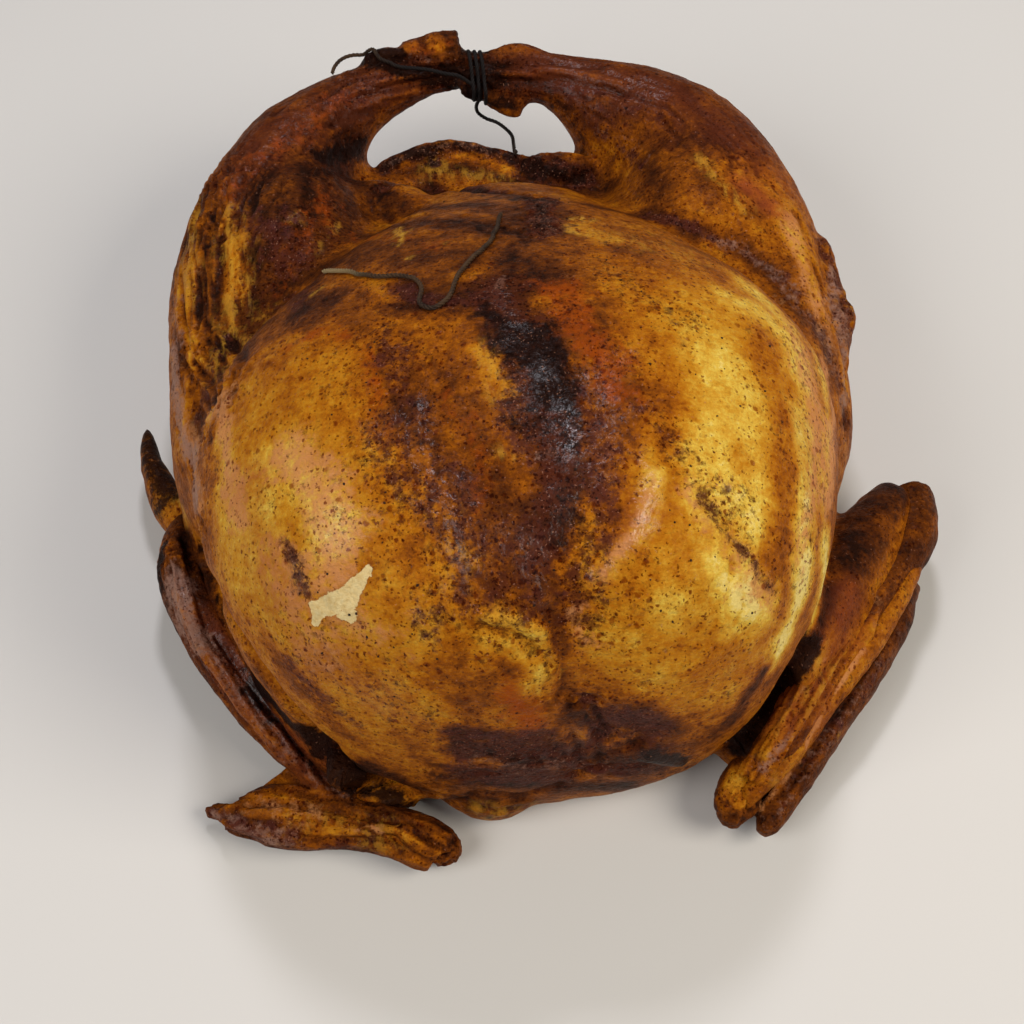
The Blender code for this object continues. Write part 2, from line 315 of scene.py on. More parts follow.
# How far the skin is roasted: 0 is pale fat, 0.3 gold, 0.5 orange, 0.7 mahogany and 1 black. Some marks
# are painted shade instead: in the gaps by the wings, under the neck and at the lower edge of the left
# breast.
ROAST_AND_SHADE = {
    "left leg and thigh": (0.9, 46, (
        (215, 430), (225, 300), (235, 200), (290, 130), (380, 80), (450, 65),
    )),
    "right leg": (0.93, 36, ((480, 60), (570, 75), (660, 90), (730, 135))),
    "right thigh": (0.62, 24, ((838, 430), (815, 320), (785, 240), (730, 200), (640, 190))),
    "inner left thigh": (0.86, 16, ((345, 170), (320, 210), (290, 250), (275, 290))),
    "outer left thigh": (0.55, 13, ((186, 270), (188, 330), (200, 370))),
    "left of the vent": (0.92, 9, ((345, 172), (370, 190), (400, 198))),
    "vent skin": (0.87, 15, ((345, 225), (380, 232), (455, 224), (500, 232), (560, 215))),
    "vent": (0.86, 10, ((385, 175), (450, 168), (520, 180))),
    "left breast": (0.46, 52, ((250, 400), (245, 500), (280, 620), (360, 720))),
    "middle of the left breast": (0.4, 30, ((330, 440), (340, 520), (370, 620))),
    "tan of the left breast": (0.2, 17, ((275, 450), (300, 480), (335, 540))),
    "top of the left breast": (0.66, 18, ((265, 340), (320, 315), (390, 320))),
    "gold at the top of the left breast": (0.54, 9, ((325, 335), (342, 375), (335, 420))),
    "brown streak of the left breast": (0.7, 12, ((385, 330), (400, 380), (405, 430))),
    "left of the keel": (0.7, 22, ((450, 380), (460, 430), (475, 480), (490, 530))),
    "gold under the twine": (0.6, 9, ((468, 325), (485, 360), (495, 390))),
    "top of the right breast": (0.68, 20, ((570, 235), (620, 235), (680, 248), (740, 275))),
    "orange beside the keel": (0.7, 20, ((560, 250), (590, 310), (610, 370), (600, 420))),
    "right breast": (0.36, 36, ((700, 310), (725, 400), (730, 500), (690, 600))),
    "pale crown of the right breast": (0.18, 17, ((712, 352), (722, 385), (712, 430), (705, 480))),
    "pale lower right breast": (0.02, 17, ((715, 560), (735, 585), (755, 610))),
    "outer right breast": (0.2, 15, ((735, 300), (765, 315), (796, 350), (808, 430), (804, 520))),
    "pale lower right side": (0.02, 13, ((825, 550), (814, 620), (790, 680))),
    "lower right breast": (0.4, 26, ((600, 610), (640, 660), (690, 690), (730, 680))),
    "lower left breast": (0.5, 20, ((350, 680), (400, 700), (410, 750))),
    "gold under the keel": (0.34, 12, ((495, 640), (540, 640), (545, 670), (520, 705))),
    "neck skin": (0.94, 15, ((474, 748), (520, 752), (575, 756), (620, 758), (665, 764))),
    "neck flap": (0.8, 9, ((455, 796), (500, 806), (540, 800))),
    "keel": (0.9, 17, ((500, 305), (535, 350), (555, 410), (562, 480), (540, 540))),
    "dark blots left of the keel": (0.8, 6, (
        (400, 400), (440, 440), (470, 500), (452, 545), (490, 590),
    )),
    "dark blots under the keel": (0.76, 7, ((500, 560), (540, 600), (560, 640))),
    "fold by the left thigh": (0.76, 9, (
        (330, 300), (290, 300), (250, 330), (225, 400), (205, 460),
    )),
    "fold by the right thigh": (0.66, 8, (
        (648, 214), (675, 222), (703, 235), (737, 246), (775, 274), (800, 309), (825, 340),
        (837, 377), (847, 421),
    )),
    "left wing": (0.74, 20, ((180, 590), (210, 650), (270, 720), (325, 772))),
    # The wing's own dark skin, with painted shade where it meets the breast.
    "inside of the left wing": (0.93, 9, (
        (190, 540), (205, 590), (225, 640), (255, 685), (285, 716), (320, 745), (350, 770),
        (425, 812),
    )),
    "left hand": (0.72, 16, ((215, 812), (290, 810), (370, 830), (440, 850))),
    "right wing": (0.76, 14, ((880, 500), (862, 570), (846, 620))),
    "right forearm": (0.5, 12, ((870, 625), (825, 690), (775, 745), (735, 790))),
    "outer right thigh": (0.36, 9, ((785, 215), (800, 255), (812, 300))),
    "yellow of the right thigh": (0.68, 7, ((702, 160), (720, 185), (750, 215), (765, 245))),
    # Dark roast with painted shade under the neck.
    "under the neck": (0.98, 12, ((565, 788), (620, 786), (690, 774))),
    "lower right edge": (0.74, 10, ((690, 748), (715, 735), (738, 715))),
    "under the right leg": (0.84, 13, ((588, 168), (640, 166), (660, 190))),
    "inner side of the left leg": (0.92, 22, ((330, 110), (315, 160), (300, 190), (285, 225))),
    "over the twine": (0.8, 18, ((320, 268), (380, 258), (430, 256), (475, 256))),
    "between the vent and the keel": (0.86, 14, ((525, 205), (514, 250), (508, 290), (502, 320))),
    "under the bend": (0.9, 13, ((395, 300), (430, 302), (475, 294), (505, 290))),
    "crease over the vent": (0.92, 7, ((380, 192), (430, 189), (480, 192), (530, 198))),
    "lump by the vent": (0.98, 16, ((522, 168), (560, 172), (588, 185))),
    "right of the crown": (0.16, 13, ((748, 400), (757, 460), (752, 525))),
    "left of the pale": (0.42, 9, ((655, 470), (665, 530), (655, 590))),
    "light left side": (0.32, 17, ((222, 440), (240, 510), (262, 590))),
    # Painted shadow in the slit between the breast and the right forearm.
    "by the right slit": (1.0, 9, (
        (738, 747), (747, 736), (756, 726), (763, 715), (769, 705), (776, 696), (783, 687),
        (790, 676), (798, 662),
    )),
    "neck": (0.95, 9, ((575, 708), (595, 728), (600, 760))),
    "right scuffs": (0.3, 10, ((690, 500), (712, 530), (735, 555))),
    "upper right wing": (0.9, 16, ((890, 485), (865, 520), (845, 560))),
    "under side of the right hand": (0.8, 6, ((755, 835), (790, 800), (825, 760), (860, 710))),
    "knob of the right wing": (0.5, 6, ((733, 772), (742, 790), (745, 805))),
    "left knuckle": (0.56, 8, ((408, 48), (440, 48), (462, 42))),
    "right knuckle": (0.7, 6, ((500, 50), (530, 52))),
    "yellow by the vent": (0.45, 8, ((580, 225), (600, 238), (640, 248))),
    "top right": (0.6, 12, ((630, 248), (690, 255), (740, 285))),
    "pocket by the left leg": (0.97, 10, ((318, 165), (340, 152), (358, 145))),
    "lower left side": (0.7, 12, ((272, 650), (310, 695), (350, 735))),
    "red of the keel": (0.7, 20, ((470, 440), (500, 500), (520, 560), (560, 600))),
    "right of the low keel": (0.55, 9, ((590, 520), (586, 560))),
    "gold left of the keel": (0.42, 5, ((478, 350), (490, 362), (502, 378), (510, 392))),
    "orange of the neck": (0.5, 8, ((514, 690), (526, 706), (530, 718))),
    "keel crease": (0.6, 2.6, ((547, 613), (556, 630), (560, 660), (566, 695))),
    "middle of the right thigh": (0.6, 10, ((755, 235), (790, 280), (812, 320))),
    "side of the right breast": (0.26, 9, ((818, 360), (826, 400), (828, 440), (822, 500))),
    "orange of the left hand": (0.55, 6, ((236, 800), (262, 798), (290, 800))),
    "middle of the left hand": (0.6, 8, ((255, 812), (300, 816))),
    "end of the left hand": (0.62, 6, ((412, 840), (436, 858))),
    "left flank": (0.62, 9, ((205, 380), (205, 440), (215, 500))),
    "right hip": (0.5, 10, ((832, 262), (840, 300), (848, 345), (845, 400))),
    "top of the vent skin": (0.8, 10, ((330, 255), (380, 246), (430, 240))),
    "between the thighs": (0.84, 10, ((590, 205), (620, 212), (650, 212))),
    "left of the crown": (0.74, 9, ((622, 348), (630, 372), (640, 398))),
    "left edge of the breast": (0.56, 8, ((302, 330), (290, 345), (270, 380))),
    "pale right edge": (0.0, 12, ((806, 560), (797, 605), (784, 640), (772, 665))),
    # Painted shade on the inner side of the left wing.
    "inner side of the left wing": (0.95, 5, (
        (262, 700), (285, 728), (300, 748), (315, 765), (326, 775),
    )),
    "lower left of the neck": (0.84, 10, ((455, 785), (500, 782), (550, 782))),
    "right of the neck": (0.7, 10, ((590, 695), (625, 705), (655, 725))),
    "above the neck": (0.64, 10, ((470, 690), (500, 700), (540, 715))),
    "below the twine": (0.74, 9, ((300, 302), (340, 292), (375, 296))),
    "streaked left thigh": (0.72, 12, ((225, 200), (225, 260), (230, 320))),
    "fold of the right thigh": (0.62, 6, (
        (703, 235), (737, 246), (775, 274), (800, 309), (825, 340), (837, 377), (847, 421),
    )),
    "crown": (0.54, 13, ((640, 330), (660, 360), (660, 400))),
    "shoulder of the right breast": (0.6, 9, ((650, 258), (700, 268), (735, 288))),
    "left of the neck": (0.62, 10, ((400, 735), (425, 755), (440, 780))),
    "bumps over the pit": (0.2, 5, ((520, 655), (535, 652), (548, 668))),
    # Painted shade in the gap on the inner side of the right wing.
    "inner side of the right wing": (0.98, 7, ((812, 642), (823, 615), (832, 588))),
    "lower part of the neck": (0.95, 13, ((464, 772), (510, 776), (560, 778))),
    "right shoulder of the neck": (0.84, 11, ((590, 740), (606, 720), (640, 714), (668, 730))),
    "left of the low keel crease": (0.3, 8, ((536, 640), (542, 662))),
    # Painted shade beside the slit by the right forearm.
    "beside the slit": (0.84, 8, ((733, 718), (748, 694), (764, 672))),
    # Painted shade at the lower edge of the left breast, over the gap by the left hand.
    "lower edge of the left breast": (0.93, 9, ((368, 766), (395, 778), (425, 792))),
    "edge by the left wing": (0.72, 6, ((252, 665), (268, 690), (290, 716))),
    "over the left breast": (0.88, 13, ((312, 245), (312, 290), (302, 322))),
    "left thigh by the fold": (0.5, 9, ((232, 240), (232, 290))),
    "left flank by the breast": (0.5, 7, ((232, 358), (230, 385))),
    "behind the keel": (0.92, 12, ((468, 296), (505, 286), (550, 274))),
    "right root of the vent skin": (0.6, 8, ((620, 165), (638, 182))),
    "right of the lump": (0.5, 7, ((505, 168), (520, 172))),
    "outer side of the right leg": (0.76, 10, ((668, 130), (700, 168), (716, 196))),
    "bright shoulder": (0.2, 13, ((745, 285), (765, 300), (788, 330))),
    "over the right thigh fold": (0.5, 7, ((704, 244), (722, 256))),
    "over the right breast": (0.72, 9, ((618, 250), (640, 252))),
    "left rim of the gap": (0.92, 9, ((290, 134), (306, 120), (322, 102), (345, 108))),
    "under the left knuckle": (0.86, 8, ((385, 92), (430, 92))),
    "low left of the keel": (0.5, 14, ((432, 530), (440, 575), (450, 612))),
    "below the ridge": (0.2, 10, ((668, 600), (672, 622))),
    "left side of the breast": (0.32, 13, ((222, 490), (228, 530), (240, 570))),
    "left side of the breast, inner": (0.3, 13, ((270, 480), (272, 530))),
    "low left breast": (0.48, 10, ((350, 700), (356, 730))),
    "right edge of the breast": (0.14, 10, ((800, 420), (806, 480), (800, 530))),
    "right forearm, inner half": (0.5, 7, ((800, 672), (780, 700), (764, 726))),
    "round the vent": (0.88, 12, ((345, 205), (400, 206), (450, 206), (505, 210))),
    "upper edge of the neck": (0.86, 6, ((455, 730), (480, 734), (505, 738), (550, 734))),
    "middle of the neck": (0.95, 9, ((565, 764), (595, 768), (625, 770))),
    "gold by the twine bend": (0.5, 6, ((378, 290), (394, 298))),
    "outer left flank": (0.78, 7, ((180, 348), (184, 388))),
    "under the pale skin": (0.5, 9, ((712, 684), (730, 660))),
}
BARE_ROAST = 0.6  # the back and sides
WING_ROAST = 0.8

# Glowing orange-red skin.
EMBER = {
    "beside the keel": (0.85, 13, ((560, 290), (572, 320), (600, 360), (612, 390))),
    "top of the left breast": (0.6, 9, ((290, 345), (330, 330), (350, 340))),
    "right of the gold": (0.6, 7, ((365, 350), (380, 400), (375, 440))),
    "left of the keel": (0.5, 12, ((450, 400), (480, 450), (480, 500))),
    "over the vent": (0.5, 8, ((350, 235), (400, 240), (440, 245))),
    "lower right breast": (0.35, 12, ((600, 640), (625, 650), (640, 690))),
    "under the keel": (0.5, 9, ((510, 680), (520, 710), (505, 730))),
    "left leg": (0.5, 14, ((230, 190), (290, 140), (340, 100))),
    "right wing": (0.35, 7, ((862, 560), (845, 600), (830, 630))),
    "top of the right breast": (0.4, 12, ((620, 245), (680, 250), (730, 270))),
    "left side": (0.4, 12, ((255, 470), (262, 520), (275, 570))),
    "left breast": (0.4, 16, ((245, 480), (255, 530), (270, 590))),
    "orange of the neck": (0.8, 8, ((512, 692), (524, 708), (528, 718))),
    "left knuckle": (0.5, 5, ((412, 45), (432, 52), (452, 42))),
    "middle of the left leg": (0.5, 9, ((318, 92), (335, 96), (350, 92))),
    "inner left thigh": (0.5, 12, ((330, 190), (300, 235), (280, 290))),
}

# Dull pinkish tan: dried skin in places, painted sheen on the left breast, the flanks and the right side,
# and painted highlights along the ridge beside the keel and the right forearm.
TAN_AND_SHEEN = {
    # Painted sheen on the left breast, where light glances off it.
    "left breast": (0.75, 22, ((290, 450), (320, 500), (340, 560), (330, 600))),
    "lower left breast": (0.6, 22, ((275, 560), (300, 620), (330, 650))),
    "outer right breast": (0.75, 14, ((795, 330), (814, 400), (816, 460), (804, 530))),
    "left flank": (0.7, 13, ((178, 390), (186, 440), (200, 500))),
    "right hip": (0.5, 8, ((822, 300), (832, 350))),
    # Painted highlight along the ridge beside the keel.
    "ridge beside the keel": (0.7, 4, ((655, 475), (640, 520), (620, 550), (602, 575))),
    "right scuffs": (0.7, 11, ((690, 490), (725, 540), (765, 595))),
    "left thigh": (0.35, 14, ((195, 200), (190, 250), (188, 300), (195, 350))),
    # Painted highlights along the ridges of the right forearm.
    "right forearm": (0.9, 2.5, (
        (882, 592), (868, 637), (846, 676), (823, 709), (807, 742), (782, 781), (762, 808),
    )),
    "left forearm": (0.2, 8, ((205, 650), (245, 705), (285, 750))),
    "right thigh": (0.65, 11, ((790, 215), (802, 260), (815, 305))),
    "left side": (0.85, 13, ((222, 400), (226, 450), (240, 520))),
    "second line of the right forearm": (0.7, 2, ((830, 650), (800, 690), (780, 722))),
    "side of the right breast": (0.85, 9, ((826, 370), (832, 430), (830, 500))),
    "finger of the left hand": (0.9, 2.2, ((328, 832), (366, 830), (404, 828))),
    "right of the low keel crease": (0.6, 8, ((575, 612), (585, 640))),
    "left hand": (0.5, 9, ((250, 806), (290, 808), (320, 814))),
    "bright shoulder": (0.35, 12, ((750, 285), (780, 300), (800, 335))),
    "below the ridge": (0.2, 10, ((668, 600), (672, 622))),
    "right wing": (0.3, 9, ((884, 560), (868, 610))),
    "wavy right breast": (0.35, 12, ((716, 500), (722, 560))),
}

# Purple-brown, where sugars and fat have baked on.
PLUM = {
    "neck": (1.05, 15, ((474, 748), (520, 752), (575, 756))),
    "right of the neck": (0.6, 9, ((590, 700), (630, 715), (650, 735))),
    "left of the keel": (0.5, 18, ((385, 440), (415, 480), (440, 520), (470, 550))),
    "brown of the left breast": (0.55, 9, ((385, 330), (400, 370), (405, 420))),
    "keel": (0.75, 18, ((490, 300), (530, 345), (552, 410), (555, 480), (540, 545), (500, 590))),
    "right of the keel": (0.65, 15, ((588, 400), (600, 440), (604, 500), (590, 550), (570, 590))),
    "under the keel": (0.45, 15, ((470, 590), (530, 600), (590, 610))),
    "fold by the right thigh": (0.5, 6, (
        (648, 214), (675, 222), (703, 235), (737, 246), (775, 274), (800, 309), (825, 340),
        (837, 377), (847, 421),
    )),
    "right hip": (0.85, 11, ((826, 250), (836, 280), (846, 310), (850, 345))),
    "left flank": (0.5, 9, ((222, 340), (212, 380), (200, 420))),
    "dark of the left thigh": (0.7, 15, ((262, 220), (285, 260), (300, 300))),
    "left leg": (0.5, 14, ((330, 100), (380, 85), (440, 78))),
    "right leg": (0.4, 16, ((540, 85), (600, 95), (650, 110))),
    "patch of the right leg": (0.6, 9, ((600, 135), (625, 150), (640, 165))),
    "vent lip": (0.8, 6, ((384, 166), (430, 149), (477, 148), (512, 158))),
    "crease over the vent": (0.6, 6, ((385, 190), (440, 190), (500, 192))),
    "gritty patch": (1.3, 11, ((540, 199), (541, 214), (543, 230))),
    "twine bend": (0.75, 10, ((392, 292), (420, 300), (448, 300), (480, 285))),
    "left wing": (0.3, 14, ((195, 590), (225, 650), (280, 715))),
    "tip of the left hand": (0.9, 8, ((212, 814), (235, 824), (262, 834), (290, 845))),
    "left hand": (0.55, 9, ((300, 848), (320, 850), (340, 846))),
    "outside of the right wing": (0.4, 6, ((880, 670), (850, 710), (800, 775))),
    "streak of the left breast": (0.8, 4, ((286, 540), (298, 565), (306, 590))),
    "right scuffs": (0.6, 4, ((700, 500), (722, 530), (750, 560), (772, 592))),
    "specks of the right breast": (0.4, 9, ((640, 400), (660, 430), (690, 460))),
    "head of that fold": (0.95, 6, ((648, 218), (670, 222), (700, 229))),
    "spot on the right thigh": (0.95, 3, ((732, 214), (742, 226))),
    "keel, left edge": (0.75, 8, ((508, 370), (512, 420), (510, 450))),
    "lump by the vent": (0.9, 12, ((526, 165), (560, 170), (585, 180))),
    "lower left breast": (0.6, 9, ((285, 660), (320, 695), (360, 725))),
    "left of the low keel": (0.5, 18, ((450, 470), (470, 520), (490, 570), (520, 610))),
    "orange of the neck": (0.0, 8, ((514, 688), (526, 706), (528, 720))),
    "under the neck": (0.0, 8, ((590, 780), (650, 780), (700, 770))),
    "neck flap": (0.2, 8, ((460, 798), (500, 806), (535, 800))),
    "keel crease": (0.1, 3, ((556, 640), (560, 660), (568, 700))),
    "back of the left hand": (0.6, 7, ((270, 812), (282, 822), (296, 830))),

    "lower part of the neck": (1.05, 13, ((472, 770), (520, 776), (560, 778))),
    "right shoulder of the neck": (0.95, 11, ((592, 742), (606, 722), (636, 716), (662, 730))),
    "upper edge of the neck": (0.8, 6, ((455, 730), (480, 734), (505, 738), (550, 734))),
    "middle of the neck": (0.9, 9, ((565, 764), (595, 768), (625, 770))),
}

# Greyish skin: dry skin in places, and painted sheen where light glances off the flanks, the right hip and
# the wings.
GREYED_AND_SHEEN = {
    "left forearm": (0.45, 13, ((200, 640), (235, 695), (285, 745), (320, 775), (345, 790))),
    "left elbow": (0.5, 6, ((170, 560), (168, 600), (182, 640))),
    "left flank": (0.85, 11, ((172, 350), (176, 400), (186, 450), (196, 500))),
    "outer left thigh": (0.5, 8, ((176, 250), (174, 300), (180, 340))),
    "right hip": (0.65, 8, ((832, 272), (838, 310), (843, 350), (842, 400), (846, 440))),
    "fold by the right thigh": (0.5, 6, (
        (703, 236), (740, 247), (775, 275), (800, 310), (825, 342), (837, 380),
    )),
    "outside of the right wing": (0.35, 8, (
        (890, 640), (862, 690), (832, 735), (797, 785), (770, 822),
    )),
    "lip of the vent": (0.6, 4, ((384, 165), (410, 155), (450, 143), (490, 150))),
    "right leg": (0.3, 10, ((600, 130), (625, 138), (650, 160))),
    "gritty patch": (0.6, 9, ((540, 199), (541, 214), (543, 230))),
    "left knuckle": (0.4, 5, ((412, 55), (430, 60))),
    "left hand": (0.6, 7, ((215, 815), (240, 824), (280, 842))),
    "right wrist": (0.6, 5, ((762, 770), (775, 755), (790, 735))),
    "neck": (0.45, 13, ((480, 758), (530, 766), (575, 762))),
    "sliver of fat by the twine": (1.3, 2, ((499, 287), (504, 277))),
    "upper part of the left forearm": (0.85, 10, ((174, 575), (186, 615), (196, 640))),
    # Painted highlight: the grey of the glints on the keel.
    "under the glint of the keel": (0.45, 7, ((540, 458), (565, 450))),
}

# Redness without darkness, as on meat under thin skin.
ROSE = {
    "red patch of the right thigh": (0.95, 10, ((742, 180), (762, 196), (782, 212))),
    "right leg": (0.3, 30, ((540, 70), (640, 85), (720, 120), (770, 180))),
    "left breast": (0.35, 20, ((250, 480), (258, 560), (275, 620))),
    "outer right breast": (0.35, 14, ((800, 420), (810, 500))),
    "left wing": (0.5, 18, ((200, 620), (260, 710), (330, 770))),
    "right wing": (0.45, 18, ((850, 600), (790, 720))),
    "left leg": (0.25, 30, ((240, 170), (320, 110), (400, 80))),
    "ridge beside the keel": (0.15, 6, ((640, 500), (620, 550), (600, 580))),
}

# Burnt skin, from brown-black to blue-black, and painted shadow in the gaps by the wings, as noted at
# those marks.
CHAR_AND_SHADOW = {
    "keel": (1.1, 18, ((532, 350), (550, 378), (556, 410))),
    "keel behind": (0.8, 10, ((482, 312), (505, 322), (522, 332))),
    "keel low": (0.55, 11, ((572, 500), (576, 522), (556, 542))),
    "blots left of the keel": (0.3, 12, ((400, 400), (430, 450), (460, 490), (450, 540))),
    "neck skin": (0.45, 9, ((462, 742), (490, 752), (540, 764))),
    "dark lump of the neck": (1.1, 5, ((650, 759), (665, 761), (682, 763))),
    "left flank": (0.35, 8, ((212, 350), (205, 385), (198, 415))),
    "vent lip": (0.75, 7, (
        (384, 166), (406, 157), (430, 149), (453, 143), (477, 148), (495, 151), (512, 158),
    )),
    "tag of skin": (1.0, 15, ((149, 436), (154, 452), (158, 472), (164, 490))),
    "left elbow": (1.1, 6, ((164, 548), (159, 580), (166, 615), (182, 648))),
    "left leg end": (0.9, 9, ((345, 70), (375, 60), (400, 72), (455, 80), (500, 82))),
    "burnt end by the left knuckle": (1.2, 9, ((366, 58), (382, 54), (396, 56))),
    "flap under the tie": (1.0, 6, ((456, 88), (468, 92), (476, 97))),
    "heel": (0.8, 7, ((484, 100), (498, 105), (512, 104))),
    "rim of the gap": (0.4, 4, ((366, 158), (366, 138), (380, 120), (410, 100), (440, 90))),
    "right rim of the gap": (0.5, 5, ((542, 104), (565, 112), (580, 128), (582, 148))),
    "lump by the vent": (0.9, 11, ((526, 165), (552, 172), (580, 178))),
    "under the vent": (0.5, 7, ((385, 195), (430, 190), (480, 196), (520, 200))),
    "twine bend": (0.25, 8, ((400, 295), (425, 300), (440, 305))),
    "right scuff": (0.3, 5, ((696, 500), (715, 525), (745, 555), (772, 592))),
    "left streak": (0.35, 4, ((293, 555), (300, 572), (304, 588))),
    "right hip edge": (0.7, 4, ((833, 250), (843, 277), (852, 305), (855, 335))),
    "gritty patch by the vent": (0.55, 10, ((540, 199), (541, 214), (543, 230))),
    "right leg end": (0.4, 8, ((510, 85), (545, 92), (575, 115))),
    "middle of the keel": (0.5, 13, ((556, 425), (566, 445))),
    "keel's lower end": (0.15, 9, ((490, 530), (515, 548), (505, 570))),
    "pocket by the left leg": (1.0, 10, ((322, 160), (342, 152), (358, 148))),
    # Painted shadow in the slit between the breast and the right forearm.
    "right slit": (1.5, 8, (
        (738, 747), (747, 736), (756, 726), (763, 715), (769, 705), (776, 696), (783, 687),
        (790, 676), (798, 662), (804, 651),
    )),
    # Painted shadow in the gap between the left wing and the breast.
    "shadow by the left wing": (1.4, 11, (
        (262, 690), (280, 712), (300, 728), (318, 742), (335, 755), (348, 770), (362, 782),
        (380, 792), (400, 800), (425, 810),
    )),
    "right upper wing": (0.3, 12, ((885, 495), (862, 515), (842, 540))),
    "tie": (0.8, 9, ((450, 70), (470, 74), (492, 74))),
    # Painted shade in the groove beside the left wing.
    "strip by the left wing": (0.8, 5, (
        (200, 548), (212, 585), (226, 622), (242, 655), (260, 684),
    )),
    "under the neck": (0.0, 6, ((600, 780), (640, 780), (660, 782))),
    "creases of the neck": (0.35, 3, ((602, 728), (622, 740), (640, 745))),
    # Painted shadow between the left hand and the breast, by the wrist.
    "shadow by the left wrist": (1.4, 8, (
        (312, 752), (328, 768), (338, 780), (352, 786), (372, 796), (392, 802),
    )),
    "dark of the left thigh": (0.15, 12, ((262, 220), (285, 260), (290, 300))),
    # Painted shade on the inner side of the left wing.
    "inner side of the left wing": (0.25, 4, (
        (262, 700), (285, 728), (300, 748), (315, 765), (326, 775),
    )),
    "keel, left edge": (0.5, 7, ((516, 375), (518, 410), (520, 430))),
}

# How thickly brown clots and specks lie on the skin: 0 is none and 1 covers it.
CLOTS = {
    "legs": (0.26, 40, (
        (200, 430), (205, 300), (225, 200), (290, 130), (380, 80), (460, 70), (570, 80), (700, 110),
    )),
    "left leg end": (0.75, 14, ((350, 80), (400, 72), (460, 75), (520, 78))),
    "left thigh": (0.3, 16, ((190, 260), (200, 330), (210, 400))),
    "inner left thigh": (0.62, 18, ((350, 160), (320, 210), (280, 270), (250, 330))),
    "right thigh": (0.34, 26, ((838, 430), (815, 320), (785, 240), (730, 190), (640, 180))),
    "vent": (0.6, 10, ((380, 190), (440, 190), (540, 190))),
    "over the vent": (0.4, 12, ((380, 225), (440, 230), (500, 230))),
    "twine bend": (0.48, 13, ((395, 300), (420, 305), (450, 300))),
    "left breast": (0.26, 50, ((250, 400), (245, 500), (280, 620), (360, 720))),
    "brown of the left breast": (0.52, 14, ((385, 330), (400, 390), (410, 440))),
    "left of the keel": (0.55, 22, ((385, 440), (420, 480), (440, 540))),
    "keel": (0.86, 17, ((500, 285), (535, 340), (555, 410), (560, 480), (545, 540), (500, 590))),
    "beside the keel": (0.5, 13, ((600, 330), (615, 420), (610, 500), (570, 590))),
    "under the keel": (0.52, 16, ((450, 570), (500, 620), (560, 640), (600, 620))),
    "gold beside the keel": (0.2, 8, ((474, 320), (488, 360), (490, 400))),
    "top of the right breast": (0.33, 20, ((590, 240), (660, 245), (740, 280))),
    "right breast": (0.18, 34, ((690, 320), (700, 420), (690, 520))),
    "pale crown": (0.1, 16, ((704, 330), (722, 370), (718, 420))),
    "outer right breast": (0.4, 14, ((800, 330), (812, 430), (805, 520))),
    "right scuffs": (0.56, 7, ((696, 484), (722, 520), (745, 560), (775, 595))),
    "specks over the scuffs": (0.52, 8, ((640, 400), (660, 430), (700, 470), (745, 500))),
    "pale lower side": (0.14, 12, ((700, 560), (740, 600), (800, 640))),
    "lower right breast": (0.3, 22, ((640, 640), (690, 680), (740, 690))),
    "lower left breast": (0.44, 24, ((330, 650), (390, 695), (450, 735))),
    "streak of the left breast": (0.6, 4, ((290, 552), (300, 570), (306, 588))),
    "neck": (0.72, 15, ((474, 746), (540, 752), (620, 758), (690, 768))),
    "left wing": (0.36, 24, ((190, 560), (210, 640), (270, 720), (330, 770), (400, 800))),
    "left hand": (0.36, 14, ((215, 812), (290, 810), (370, 830), (440, 850))),
    "right wing": (0.3, 22, ((885, 490), (860, 580), (820, 660), (760, 780))),
    "lump by the vent": (0.9, 12, ((526, 165), (552, 172), (580, 178))),
    "red of the keel": (0.6, 18, ((480, 470), (500, 520), (520, 560), (560, 600))),
    "orange of the neck": (0.1, 8, ((514, 688), (526, 706), (528, 720))),
    "left of the crown": (0.52, 9, ((640, 370), (650, 400), (668, 440), (690, 470))),
    "top of the breast": (0.55, 12, ((620, 275), (650, 300), (690, 320))),
    "gritty patch": (0.9, 11, ((540, 199), (541, 214), (543, 230))),
    "lower part of the neck": (0.72, 12, ((472, 772), (520, 776), (560, 778))),
}

# Where the fat has dried to a gloss.
GLAZE = {
    "keel": (0.12, 13, ((535, 385), (555, 410), (568, 440), (576, 480))),
    "keel low": (0.2, 12, ((530, 505), (560, 500), (575, 495), (565, 525), (530, 545))),
    "keel's lower end": (0.3, 7, ((500, 545), (530, 570), (545, 600))),
    "behind the keel": (0.25, 6, ((500, 300), (515, 320))),
    "ridge beside the keel": (0.8, 5, ((655, 475), (640, 520), (620, 550), (602, 575))),
    "left breast": (0.3, 16, ((300, 440), (330, 490), (345, 540))),
    "lower left breast": (0.25, 16, ((330, 660), (380, 700))),
    "left wing": (0.4, 8, ((200, 600), (240, 680), (290, 740))),
    "left leg": (0.12, 16, ((240, 180), (300, 120), (380, 85))),
    "right leg": (0.25, 16, ((560, 75), (650, 90))),
    "neck": (0.2, 8, ((580, 730), (610, 740), (560, 750))),
    "right of the keel": (0.25, 9, ((590, 380), (610, 420), (600, 470))),
    "left of the keel": (0.35, 14, ((400, 430), (440, 480), (460, 540))),
    "glint of the keel": (0.55, 7, ((568, 415), (576, 438), (572, 460))),
    "second glint of the keel": (0.7, 6, ((556, 490), (572, 500), (564, 516))),
    "third glint of the keel": (0.6, 5, ((510, 532), (526, 538), (538, 546))),
    "top glint of the keel": (0.25, 4, ((538, 372), (548, 380))),
    "dark lump of the neck": (0.25, 4, ((650, 758), (665, 760), (682, 762))),
}

